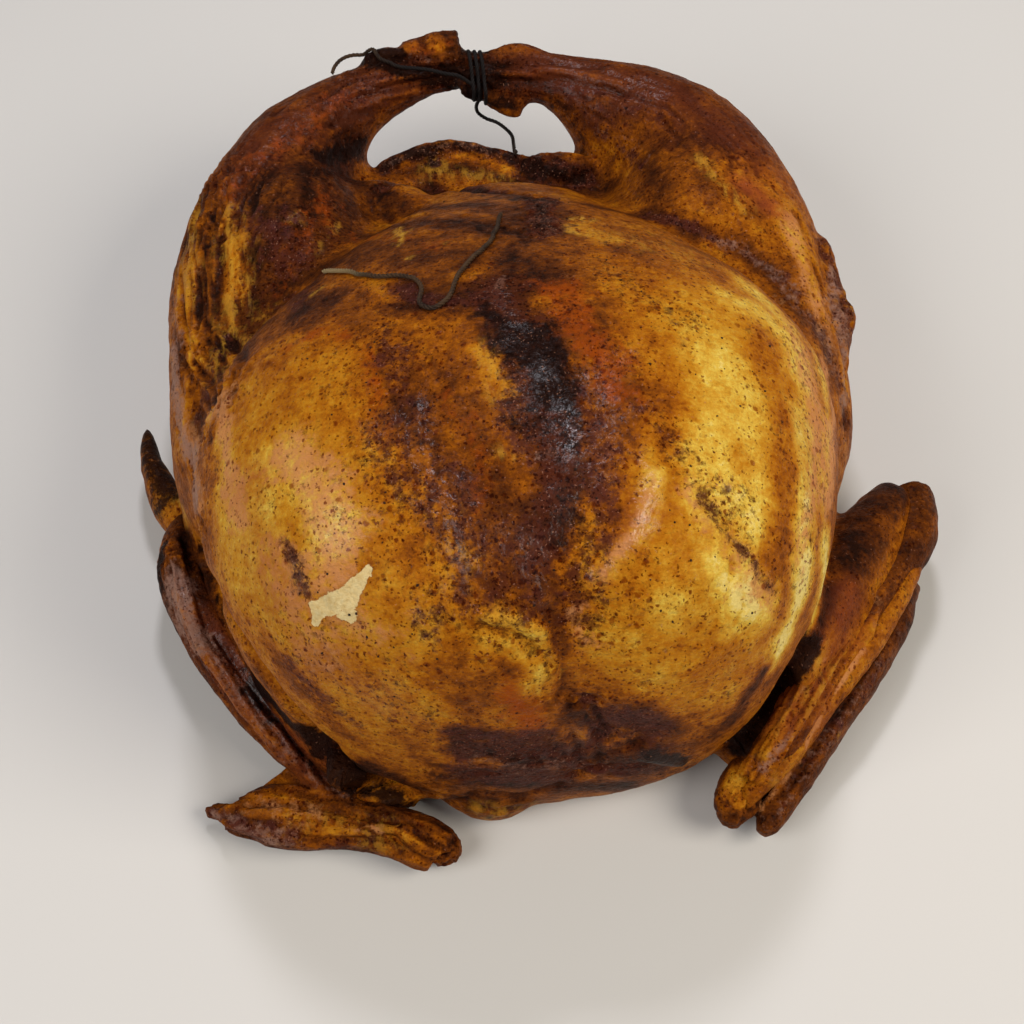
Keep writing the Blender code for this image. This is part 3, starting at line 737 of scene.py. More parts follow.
# Streaks of thin yellow skin.
GOLD = {
    "left thigh": (0.6, 13, ((226, 235), (230, 270), (234, 320), (224, 355))),
    "right thigh": (0.6, 6, ((702, 158), (716, 180), (745, 210))),
    "over the vent": (0.5, 8, ((430, 170), (500, 180))),
    "bits by the vent": (1.1, 4, ((572, 219), (588, 219))),
    "more bits by the vent": (1.0, 4, ((568, 230), (590, 236), (606, 240))),
    "neck flap": (0.35, 7, ((480, 806), (505, 812), (525, 808))),
    "left of the keel crease": (0.9, 6, ((505, 618), (530, 630), (545, 655), (552, 675))),
    "tag root": (0.9, 6, ((178, 500), (186, 515))),
    "left hand": (0.35, 8, ((290, 812), (340, 822), (400, 832))),
    "keel": (0.5, 7, ((478, 350), (492, 375), (500, 395))),
    "left of the low keel": (0.6, 7, ((432, 546), (450, 560))),
    "over the low keel": (0.5, 5, ((500, 452), (515, 458))),
    "top of the right breast": (0.4, 12, ((600, 235), (640, 245), (690, 258))),
    "knob of the right wing": (0.2, 6, ((733, 772), (742, 795))),
    "right forearm": (0.4, 6, ((840, 655), (795, 715), (760, 765))),
    "edge of the left thigh": (0.55, 9, ((196, 205), (190, 250), (195, 300))),
    "stitch": (1.3, 2.4, ((397, 228), (401, 237), (397, 246))),
    "gold under the twine": (0.8, 3, ((310, 296), (325, 286))),
    "below the ridge": (0.7, 10, ((668, 600), (672, 622))),
}

# Skin torn off, down to the pale meat.
TORN = {
    "tear": (1.0, 5.0, ((322, 609), (332, 602), (346, 599))),
    "tear's upper end": (1.0, 4.6, ((350, 594), (360, 580), (369, 569))),
    "tear's lower end": (1.0, 3.6, ((316, 622), (319, 614))),
}

# Where one skin hangs over two parts of the solid, and softens the step between them.
SOFTENED = {
    "by the left thigh": (1.0, 24, (
        (345, 225), (325, 270), (290, 300), (255, 330), (220, 380), (205, 430), (196, 480),
    )),
    "by the left leg": (1.0, 22, ((338, 150), (345, 175), (358, 195), (380, 208), (400, 205))),
    "by the right thigh": (0.8, 16, (
        (600, 205), (650, 214), (703, 235), (760, 268), (800, 315), (825, 365), (842, 420),
    )),
}
SOFTENINGS = 140

# Creases and ridges: height in millimetres, below zero for a groove, half width and line.
RELIEF = {
    "fold by the right thigh": (-1.2, 5, (
        (648, 214), (675, 222), (703, 235), (737, 246), (775, 274), (800, 309), (825, 340),
        (837, 377), (847, 421),
    )),
    "fold by the left thigh": (-0.4, 6, (
        (330, 300), (285, 318), (250, 345), (235, 400), (215, 470),
    )),
    "crease over the vent": (-2.0, 3, ((380, 190), (430, 187), (480, 190), (540, 196))),
    "pocket by the left leg": (-2.0, 6, ((338, 166), (346, 150), (354, 140))),
    "keel crease": (-1.3, 2.4, ((547, 613), (556, 630), (560, 660), (566, 695))),
    "fold over the pit": (-1.4, 1.8, ((478, 626), (505, 632), (532, 644), (552, 668))),
    "ridge over the pit": (1.3, 2.6, ((480, 616), (512, 620), (540, 632))),
    "pit": (-2.4, 1.6, ((530, 650), (533, 658))),
    "neck fold left": (0.8, 2.4, ((566, 750), (580, 736), (598, 722))),
    "neck fold": (0.9, 2.2, ((580, 756), (600, 744), (628, 736))),
    "neck dimple": (-1.2, 3.4, ((604, 730), (622, 739), (640, 745))),
    "neck groove": (-0.8, 1.8, ((572, 756), (590, 742), (608, 728))),
    "dark lump of the neck": (1.8, 3.0, ((650, 757), (664, 760), (680, 763))),
    "under the neck flap": (-1.4, 2.5, ((440, 800), (480, 792), (520, 796), (560, 786))),
    "edge of the tear": (-0.7, 3.6, ((318, 612), (334, 600), (352, 594), (370, 570))),
    "sinew of the left leg": (1.5, 2.0, ((345, 92), (400, 78), (455, 72))),
    "second sinew of the left leg": (1.2, 1.8, ((360, 108), (410, 92), (462, 82))),
    "groove of the left leg": (-1.8, 2.0, ((350, 100), (405, 84), (458, 77))),
    "groove under the left knuckle": (-2.4, 2.0, ((396, 58), (420, 69), (450, 71), (472, 63))),
    "sinew of the right leg": (1.3, 2.2, ((500, 74), (560, 72), (620, 84))),
    "groove of the right leg": (-1.6, 2.0, ((505, 82), (560, 80), (620, 94))),
    "groove under the right knuckle": (-1.8, 1.8, ((484, 62), (510, 65), (545, 62))),
    "notch of the left knuckle": (-2.6, 1.6, ((421, 36), (423, 50))),
    "gritty patch": (0.9, 7, ((540, 203), (541, 214), (543, 226))),
    "ridge beside the keel": (1.0, 4, ((655, 475), (640, 520), (620, 550), (602, 575))),
    "layer of the neck flap": (1.0, 1.6, ((462, 796), (495, 805), (530, 800))),
    "lower layer of the neck flap": (1.0, 1.6, ((476, 808), (502, 814), (528, 811))),
    "second neck groove": (-0.8, 1.8, ((588, 762), (610, 751), (640, 744))),
    "over the underside of the neck": (-1.2, 2.2, ((575, 775), (610, 766), (645, 764))),
}

# Wings, cut deep because skin hangs between the bones.
WING_RELIEF = {
    "inner edge of the left forearm": (1.6, 2.0, (
        (190, 536), (200, 576), (222, 627), (252, 672), (290, 712), (312, 745),
    )),
    "beside that edge": (-1.6, 1.8, (
        (184, 540), (192, 580), (212, 632), (243, 680), (282, 724), (304, 752),
    )),
    "second ridge of the left forearm": (1.2, 2.0, (
        (176, 560), (182, 610), (204, 654), (236, 700), (276, 742),
    )),
    "outer furrow of the left forearm": (-1.2, 1.8, (
        (168, 575), (174, 620), (196, 660), (228, 706),
    )),
    "fold at the left wrist": (-1.6, 1.6, ((286, 732), (300, 750), (304, 770))),
    "second fold at the left wrist": (-1.6, 1.6, ((306, 752), (322, 772), (334, 792))),
    "top edge of the left hand": (1.2, 2.0, ((228, 808), (255, 794), (290, 788), (330, 794))),
    "furrow of the left hand": (-1.4, 1.8, ((250, 806), (290, 802), (330, 812), (380, 818))),
    "lower furrow of the left hand": (-1.0, 1.6, ((222, 815), (256, 822), (300, 824))),
    "finger of the left hand": (1.6, 1.5, ((325, 833), (365, 831), (408, 828))),
    "under the finger of the left hand": (-1.6, 1.5, ((300, 838), (350, 840), (392, 838))),
    "notch of the left hand": (-2.0, 1.8, ((394, 839), (400, 852))),
    "thumb of the left hand": (1.2, 2.0, ((225, 822), (265, 836), (315, 845))),
    "line over the left knob": (-1.2, 1.6, ((410, 824), (430, 842), (438, 862))),
    "over the right forearm": (1.2, 2.0, ((862, 604), (832, 642), (796, 688), (766, 732))),
    "inner furrow of the right forearm": (-1.2, 1.8, (
        (868, 610), (836, 655), (806, 700), (778, 742),
    )),
    "ridge of the right forearm": (1.8, 1.6, (
        (882, 592), (868, 637), (846, 676), (823, 709), (807, 742), (782, 781), (762, 808),
    )),
    "furrow of the right forearm": (-1.8, 1.8, (
        (876, 600), (856, 640), (834, 682), (812, 716), (794, 748), (772, 782),
    )),
    "outer furrow of the right forearm": (-1.4, 1.8, (
        (888, 628), (868, 662), (846, 700), (818, 744), (790, 786),
    )),
    "beside the right knob": (-2.2, 1.8, ((758, 762), (756, 786), (748, 812), (738, 832))),
}

# The body's own skin is cut back here, so that the wings lie clear of it.
CUT_BACK = {
    "between the left wing and the breast": (-6, 5, (
        (205, 560), (220, 600), (246, 648), (283, 700), (320, 740),
    )),
    "shadow under the left breast": (-9, 7, (
        (318, 745), (335, 762), (352, 776), (370, 788), (392, 798), (412, 808), (432, 818),
    )),
    "right slit": (-8, 6, (
        (738, 747), (747, 736), (756, 726), (763, 715), (769, 705), (776, 696), (783, 687),
        (790, 676), (798, 662), (804, 651),
    )),
}

# Wrinkles that run along a line: how high, how far from the line, across and along the run.
WRINKLES = {
    "left thigh": (1.7, 26, 3.2, 18, ((215, 400), (200, 340), (205, 250), (225, 180))),
    "left leg": (1.2, 20, 2.8, 30, ((225, 215), (290, 125), (360, 90), (440, 70))),
    "right leg": (1.0, 20, 2.8, 30, ((500, 72), (600, 80), (670, 100), (730, 150))),
    "right thigh": (0.7, 14, 3.6, 26, ((845, 420), (838, 350), (820, 280), (790, 220), (745, 175))),
    "vent": (1.3, 9, 3.6, 9, ((375, 165), (440, 150), (520, 160), (585, 175))),
    "over the vent": (0.7, 12, 3.6, 14, ((380, 215), (440, 222), (510, 235))),
    "left flank": (1.3, 16, 2.8, 24, ((190, 350), (185, 430), (200, 520))),
    "neck skin": (0.9, 14, 2.6, 7, ((440, 775), (500, 765), (560, 752))),
    "keel": (0.35, 14, 3.0, 8, ((530, 330), (560, 420), (570, 500), (540, 590))),
    "right of the keel": (0.6, 12, 4.0, 20, ((665, 440), (645, 510), (610, 575), (580, 610))),
    "breast under the keel": (0.5, 12, 3.6, 14, ((460, 590), (500, 640), (540, 700))),
    "right hip": (1.6, 7, 3.0, 7, ((826, 250), (838, 285), (850, 318), (850, 350))),
    "gritty patch": (0.9, 10, 2.0, 3, ((540, 199), (541, 214), (543, 230))),
    "neck": (1.3, 16, 3.6, 22, ((600, 765), (600, 735), (590, 705))),
    "inner left thigh": (0.9, 18, 3.2, 22, ((330, 130), (300, 200), (270, 270))),
    "right breast": (0.5, 22, 3.4, 9, ((700, 475), (715, 540), (735, 610))),
    "crown": (0.3, 16, 3.4, 9, ((700, 330), (712, 400))),
    "left breast": (0.3, 22, 3.6, 12, ((330, 640), (390, 690), (450, 720))),
    "left of the keel": (0.35, 20, 3.4, 8, ((400, 400), (430, 470), (450, 550))),
}
WING_WRINKLES = {
    "left forearm": (1.2, 16, 2.6, 22, ((175, 560), (205, 640), (265, 715), (335, 775))),
    "left hand": (1.2, 14, 2.4, 22, ((215, 812), (290, 808), (370, 825), (440, 855))),
    "right wing": (1.1, 18, 2.6, 22, ((880, 520), (840, 620), (790, 710), (745, 800))),
}

# Where pepper grains stick.
PEPPER = {
    "keel": (1.0, 18, ((500, 250), (540, 350), (560, 450), (560, 560), (540, 640))),
    "left breast": (0.5, 34, ((370, 360), (400, 440), (390, 540), (330, 640), (420, 700))),
    "right breast": (0.6, 36, ((640, 260), (700, 340), (740, 430), (730, 540), (690, 640))),
    "neck skin": (0.7, 16, ((480, 740), (600, 740))),
    "gritty patch by the vent": (1.9, 10, ((540, 199), (541, 214), (543, 230))),
    "lump by the vent": (1.9, 9, ((530, 168), (550, 172), (575, 175))),
    "twine bend": (0.8, 8, ((395, 295), (440, 305))),
}

# All that is painted on a skin: the marks, the value between them and how ragged they end.
MARKS = {
    "rose": (ROSE, 0.0, 1.0),
    "ember": (EMBER, 0.0, 1.2),
    "tan_and_sheen": (TAN_AND_SHEEN, 0.0, 1.2),
    "plum": (PLUM, 0.0, 1.2),
    "greyed_and_sheen": (GREYED_AND_SHEEN, 0.0, 1.2),
    "char_and_shadow": (CHAR_AND_SHADOW, 0.0, 1.2),
    "clots": (CLOTS, 0.36, 0.9),
    "gold": (GOLD, 0.0, 1.6),
    "torn": (TORN, 0.0, 1.2),
    "glaze": (GLAZE, 0.02, 1.4),
    "pepper": (PEPPER, 0.15, 1.0),
}
ROAST_RAGGED = 0.7
DEEPEST_FOLD_MM = 2.5

# The skin's colours from pale fat to black.
ROAST_COLOURS = (
    (0.00, "d8c070"),
    (0.12, "cfac44"),
    (0.25, "c08f2c"),
    (0.38, "b07519"),
    (0.50, "a1600f"),
    (0.60, "8a4a0a"),
    (0.70, "6d370a"),
    (0.80, "51270a"),
    (0.90, "3a1a09"),
    (1.00, "1e0e08"),
)

# Fine patterns in the skin: how it is pulled there, the size of the bumps in millimetres, their
# detail, roughness and distortion.
SKIN_PULLS = {"across": (0.6, 1, 1), "lengthways": (1, 0.35, 0.6)}
SKIN_PATTERNS = {
    "patches": ("even", 16, 4, 0.6, 0.2),
    "mottle": ("even", 4, 5, 0.7, 0),
    "fine": ("even", 1.2, 3, 0.6, 0),
    "creased": ("across", 1.7, 4, 0.65, 0),
    "streaks": ("lengthways", 3.4, 5, 0.65, 0.3),
    "ember": ("even", 6, 6, 0.72, 0),
    "tan_and_sheen": ("even", 4, 6, 0.72, 0),
    "plum": ("even", 5.5, 6, 0.72, 0),
    "greyed_and_sheen": ("even", 3.5, 6, 0.72, 0),
    "clots": ("even", 3.2, 6, 0.74, 0),
    "meat": ("even", 1.6, 4, 0.5, 0),
    "crinkles": ("even", 2.4, 4, 0.55, 0.6),
    "ripples": ("even", 3.6, 3, 0.55, 0.5),
}
PORES_PER_METRE = 420
SHAKES_PER_METRE = 700
SHAKE_REACH = 0.0022
FIBRE_MM = 0.8
STAIN_MM = 9
GRAIN_TINT_MM = 2.5

PEPPER_GRAINS = {
    "Grains per square metre": 26000.0,
    "Smallest": 0.00022,
    "Largest": 0.0006,
    "Seed": 4,
}
FLATTEST_GRAIN = (0.7, 0.7, 0.5)
LONGEST_GRAIN = (1.3, 1.0, 0.9)

# Soft lamps, each with its place and size in metres, its watts and its colour.
LAMPS = {
    "left window": ((-1.0, -0.6, 1.0), 0.9, 15.2, "f8f6f6"),
    "right window": ((1.0, -0.45, 1.0), 0.8, 16.8, "fff8ee"),
    "high lamp": ((0.05, 0.7, 1.2), 0.18, 8, "f6f6ff"),
}
FLOOR_DROP = 0.0002


def linear(colour):
    """An sRGB hex colour as linear red, green, blue and alpha."""
    channels = [int(colour[i : i + 2], 16) / 255 for i in (0, 2, 4)]
    return (*[c / 12.92 if c <= 0.04045 else ((c + 0.055) / 1.055) ** 2.4 for c in channels], 1)


def real_size(place):
    """A place in drawn millimetres as metres."""
    return Vector([mm * share for mm, share in zip(place, STRETCH)])


def make_camera():
    data = bpy.data.cameras.new("camera")
    data.lens = FOCAL_PIXELS * SENSOR_MM / PICTURE_SIDE
    data.sensor_width = SENSOR_MM
    camera = piece("camera", data)
    camera.location = CAMERA_AT
    camera.rotation_euler = (math.pi / 2 - CAMERA_TILT, 0, -CAMERA_HEADING)
    bpy.context.scene.camera = camera
    bpy.context.view_layer.update()
    return camera


def sight(x, y):
    """The direction from the camera through a place on the picture."""
    middle = PICTURE_SIDE / 2
    return (CAMERA_TURN @ Vector((x - middle, middle - y, -FOCAL_PIXELS))).normalized()


def surface(thing):
    """A piece's skin as it can be searched."""
    return BVHTree.FromObject(thing, bpy.context.evaluated_depsgraph_get())


def on_skin(skin, places):
    """Where the sight lines through places on the picture meet the skin, leaving out misses."""
    hits = [skin.ray_cast(CAMERA_AT, sight(x, y))[0] for x, y in places]
    return np.array([hit for hit in hits if hit is not None])


def smooth_curve(stations, steps):
    """Stations on a smooth curve through every given one."""
    given = np.array(stations, float)
    padded = np.vstack([2 * given[0] - given[1], given, 2 * given[-1] - given[-2]])
    rows = []
    for a, b, c, d in zip(padded, padded[1:], padded[2:], padded[3:]):
        for t in np.arange(steps) / steps:
            bend = (2 * a - 5 * b + 4 * c - d) * t**2 + (3 * b - a - 3 * c + d) * t**3
            rows.append(b + ((c - a) * t + bend) / 2)
    rows.append(given[-1])
    return np.array(rows)


def lattice(cells, seed):
    """A fixed random number from -1 to 1 for each cell of a grid."""
    spun = cells * np.array([73856093, 19349663, 83492791])
    mixed = spun[:, 0] ^ spun[:, 1] ^ spun[:, 2] ^ (seed * 2654435761)
    mixed = ((mixed ^ (mixed >> 13)) * 1274126177) & 0xFFFFFFFF
    return ((mixed ^ (mixed >> 16)) & 0xFFFF) / 32767.5 - 1


def noise(points, size, seed):
    """Smooth random bumps of that size in metres."""
    places = points / size + 1000
    cells = np.floor(places).astype(np.int64)
    share = places - cells
    share = share * share * (3 - 2 * share)
    total = np.zeros(len(points))
    for corner in product((0, 1), repeat=3):
        corner = np.array(corner)
        weight = np.prod(np.where(corner, share, 1 - share), axis=1)
        total += weight * lattice(cells + corner, seed)
    return total


def clouds(points, size, seed, octaves=3):
    """Bumps with finer bumps on them."""
    return sum(noise(points, size / 2**k, seed + k) / 2**k for k in range(octaves))


def beside(points, line):
    """Each point's distance from a line, its offset from it and how far along that is."""
    best = np.full(len(points), np.inf)
    offset = np.zeros_like(points)
    along = np.zeros(len(points))
    walked = 0
    for start, stop in zip(line, line[1:]):
        run = stop - start
        length = np.linalg.norm(run)
        share = np.clip((points - start) @ run / max(length**2, 1e-12), 0, 1)
        away = points - start - share[:, None] * run
        off = np.linalg.norm(away, axis=1)
        nearer = off < best
        best = np.where(nearer, off, best)
        offset[nearer] = away[nearer]
        along = np.where(nearer, walked + share * length, along)
        walked += length
    return best, offset, along


def faded(distance, half_width):
    """1 on the line, falling smoothly to 0 at the half width."""
    near = np.clip(1 - distance / half_width, 0, 1)
    return near * near * (3 - 2 * near)


def painted(points, skin, marks, base=0.0, ragged=1.0):
    """A value for each point, painted mark after mark with ragged edges."""
    value = np.full(len(points), base)
    rough = 1 + ragged * 0.5 * clouds(points, 0.014, 7, octaves=4)
    for level, half_width, places in marks.values():
        line = on_skin(skin, places)
        if len(line) < 2:
            continue
        weight = faded(beside(points, line)[0] * rough, half_width / 1000)
        value = value * (1 - weight) + level * weight
    return value


def relief(points, skin, lines):
    """How far creases and ridges lift each point of the skin, in metres."""
    lift = np.zeros(len(points))
    wander = 1 + 0.15 * noise(points, 0.009, 11)
    for height, half_width, places in lines.values():
        line = on_skin(skin, places)
        if len(line) > 1:
            off = beside(points, line)[0] * wander
            lift += height / 1000 * np.exp(-((off / (half_width / 1000)) ** 2))
    return lift


def wrinkles(points, skin, lines):
    """How far wrinkled skin lifts each point, in metres."""
    lift = np.zeros(len(points))
    for seed, (height, reach, across, run, places) in enumerate(lines.values()):
        line = on_skin(skin, places)
        if len(line) < 2:
            continue
        off, offset, along = beside(points, line)
        shift = np.outer(along / (run / 1000), (0.36, 0.48, 0.8)) + offset / (across / 1000)
        folds = 1 - 2.4 * np.abs(noise(shift, 1.0, 20 + seed)) + 0.5 * noise(shift, 0.5, 60 + seed)
        lift += height / 1000 * (folds - 0.4) * faded(off, 1.3 * reach / 1000)
    return lift


def evaluated_mesh(thing):
    """The plain mesh that a piece's modifiers make, which are then taken off."""
    graph = bpy.context.evaluated_depsgraph_get()
    graph.update()
    mesh = bpy.data.meshes.new_from_object(thing.evaluated_get(graph))
    thing.modifiers.clear()
    return mesh


def apply_modifiers(thing):
    old = thing.data
    thing.data = evaluated_mesh(thing)
    bpy.data.meshes.remove(old)


def coordinates(mesh, what="co"):
    flat = np.empty(len(mesh.vertices) * 3)
    mesh.vertices.foreach_get(what, flat)
    return flat.reshape(-1, 3)


def set_points(mesh, points):
    mesh.vertices.foreach_set("co", points.ravel())
    mesh.update()


def piece(name, data):
    made = bpy.data.objects.new(name, data)
    bpy.context.scene.collection.objects.link(made)
    return made


def mesh_piece(name, bm):
    mesh = bpy.data.meshes.new(name)
    bm.to_mesh(mesh)
    bm.free()
    return piece(name, mesh)


def draw_fine(thing, grid, rounds):
    """One smoothly drawn skin over all that the piece holds."""
    remesh = thing.modifiers.new("grid", "REMESH")
    remesh.mode = "VOXEL"
    remesh.voxel_size = grid
    drawn = thing.modifiers.new("drawn", "SMOOTH")
    drawn.factor = 0.5
    drawn.iterations = rounds
    apply_modifiers(thing)


def add_limb(bm, stations, steps=6):
    """A tapering limb with an oval section, its places in drawn millimetres."""
    curve = smooth_curve(stations, steps)
    centres = [real_size(row[:3]) for row in curve]
    last = None
    for i, (*_, half_width, half_depth) in enumerate(curve):
        along = centres[min(i + 1, len(curve) - 1)] - centres[max(i - 1, 0)]
        side = along.cross(Vector((0, 0, 1))).normalized() * half_width * STRETCH.x
        over = side.cross(along).normalized() * half_depth * STRETCH.z
        turns = [math.tau * k / LIMB_SIDES for k in range(LIMB_SIDES)]
        row = [bm.verts.new(centres[i] + side * math.cos(t) + over * math.sin(t)) for t in turns]
        if last:
            for k in range(LIMB_SIDES):
                following = (k + 1) % LIMB_SIDES
                bm.faces.new((last[k], last[following], row[following], row[k]))
        else:
            bm.faces.new(row[::-1])
        last = row
    bm.faces.new(last)


def whole_skin():
    """The bird's solid with its loose flesh as one fine skin, still without its marks."""
    bm = bmesh.new()
    bm.from_mesh(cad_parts["bird"].data)
    bmesh.ops.remove_doubles(bm, verts=bm.verts, dist=1e-6)
    for stations in FLESH.values():
        add_limb(bm, stations)
    bird = mesh_piece("roast_bird", bm)
    rounded = bird.modifiers.new("rounded", "SUBSURF")
    rounded.levels = rounded.render_levels = 2
    draw_fine(bird, SKIN_GRID, 6)
    return bird


def drawn_in(points):
    """The points with those of the buried limbs moved towards the limbs' middles."""
    for stations in BURIED + WEBS:
        curve = smooth_curve(stations, 3)
        line = curve[:, :3] * np.array(STRETCH)
        size = np.maximum(curve[:, 3], curve[:, 4]) * STRETCH.x
        walked = np.concatenate([[0], np.cumsum(np.linalg.norm(np.diff(line, axis=0), axis=1))])
        off, offset, along = beside(points, line)
        beyond = np.maximum(off / np.interp(along, walked, size) - LIMB_EDGE, 0)
        near = faded(beyond, LIMB_FADE)
        core = CORE
        if stations in WEBS:
            core = WEB_CORE
            out = points - np.array(BIRD_MIDDLE)
            outward = (offset * out).sum(axis=1) / np.linalg.norm(out, axis=1)
            near *= np.clip(outward / WEB_FADE, 0, 1)
        points = points - offset * ((1 - core) * near)[:, None]
    return points


def add_value(mesh, name, values):
    made = mesh.attributes.new(name, "FLOAT", "POINT")
    made.data.foreach_set("value", np.asarray(values, np.float32))


def press(thing, lift):
    """Moves the skin along its own normals, and keeps what rests on the ground there."""
    mesh = thing.data
    points = coordinates(mesh)
    lifted = points + coordinates(mesh, "normal") * lift[:, None]
    resting = points[:, 2] < RESTING_BELOW
    lifted[:, 2] = np.where(resting, points[:, 2], np.maximum(lifted[:, 2], GROUND_GAP))
    set_points(mesh, lifted)


def paint(thing, seen, fold, bare_roast):
    mesh = thing.data
    points = coordinates(mesh)
    for name, (marks, base, ragged) in (("roast", (ROAST_AND_SHADE, bare_roast, ROAST_RAGGED)), *MARKS.items()):
        add_value(mesh, name, painted(points, seen, marks, base, ragged))
    add_value(mesh, "fold", np.clip(fold(points) * 1000, -DEEPEST_FOLD_MM, DEEPEST_FOLD_MM))
    mesh.polygons.foreach_set("use_smooth", np.ones(len(mesh.polygons), bool))


def uneven(points):
    """Soft bumps and fine crinkles all over."""
    crinkles = 0.6 - 2.4 * np.abs(noise(points, 0.0055, 14))
    return 0.0005 * clouds(points, 0.02, 3) + 0.0002 * clouds(points, 0.006, 5) + 0.00016 * crinkles


def soften(bird):
    """Smooths the skin where it is marked."""
    weights = painted(coordinates(bird.data), surface(bird), SOFTENED, ragged=0)
    group = bird.vertex_groups.new(name="softened")
    for level in range(1, 11):
        chosen = np.nonzero(np.round(weights * 10) == level)[0]
        group.add(chosen.tolist(), level / 10, "REPLACE")
    softened = bird.modifiers.new("softened", "SMOOTH")
    softened.vertex_group = group.name
    softened.factor = 0.5
    softened.iterations = SOFTENINGS
    apply_modifiers(bird)
    bird.vertex_groups.clear()


def dress_body(bird):
    soften(bird)
    set_points(bird.data, drawn_in(coordinates(bird.data)))
    seen = surface(bird)

    def fold(points):
        return relief(points, seen, RELIEF) + wrinkles(points, seen, WRINKLES)

    points = coordinates(bird.data)
    press(bird, uneven(points) + fold(points) + relief(points, seen, CUT_BACK))
    shown = surface(bird)
    thinned = bird.modifiers.new("thinned", "DECIMATE")
    thinned.ratio = min(1, SKIN_TRIANGLES / (2 * len(bird.data.polygons)))
    apply_modifiers(bird)
    paint(bird, shown, fold, BARE_ROAST)


def dressed_wing(name, limbs):
    bm = bmesh.new()
    for stations in limbs:
        add_limb(bm, stations)
    bmesh.ops.recalc_face_normals(bm, faces=bm.faces)
    wing = mesh_piece(name, bm)
    draw_fine(wing, WING_GRID, 5)
    seen = surface(wing)

    def fold(points):
        return relief(points, seen, WING_RELIEF) + wrinkles(points, seen, WING_WRINKLES)

    points = coordinates(wing.data)
    press(wing, uneven(points) + fold(points))
    paint(wing, seen, fold, WING_ROAST)
    return wing


class Tree:
    """A node tree with one short way to add a node."""

    def __init__(self, tree):
        self.tree = tree

    def add(self, kind, inputs=(), **settings):
        """A node with its settings. Its inputs are given by name, or in the order in which it
        shows them: a value, an sRGB hex, an output, or a node for that node's first output."""
        node = self.tree.nodes.new(kind)
        for name, value in settings.items():
            setattr(node, name, value)
        if isinstance(inputs, dict):
            pairs = [(node.inputs[name], given) for name, given in inputs.items()]
        else:
            pairs = zip([socket for socket in node.inputs if socket.enabled], inputs)
        for socket, given in pairs:
            if isinstance(given, bpy.types.Node):
                given = next(output for output in given.outputs if output.enabled)
            if isinstance(given, bpy.types.NodeSocket):
                self.tree.links.new(given, socket)
            else:
                socket.default_value = linear(given) if socket.type == "RGBA" else given
        return node


def new_material(name):
    made = bpy.data.materials.new(name)
    made.use_nodes = True
    made.node_tree.nodes.clear()
    return made, Tree(made.node_tree)


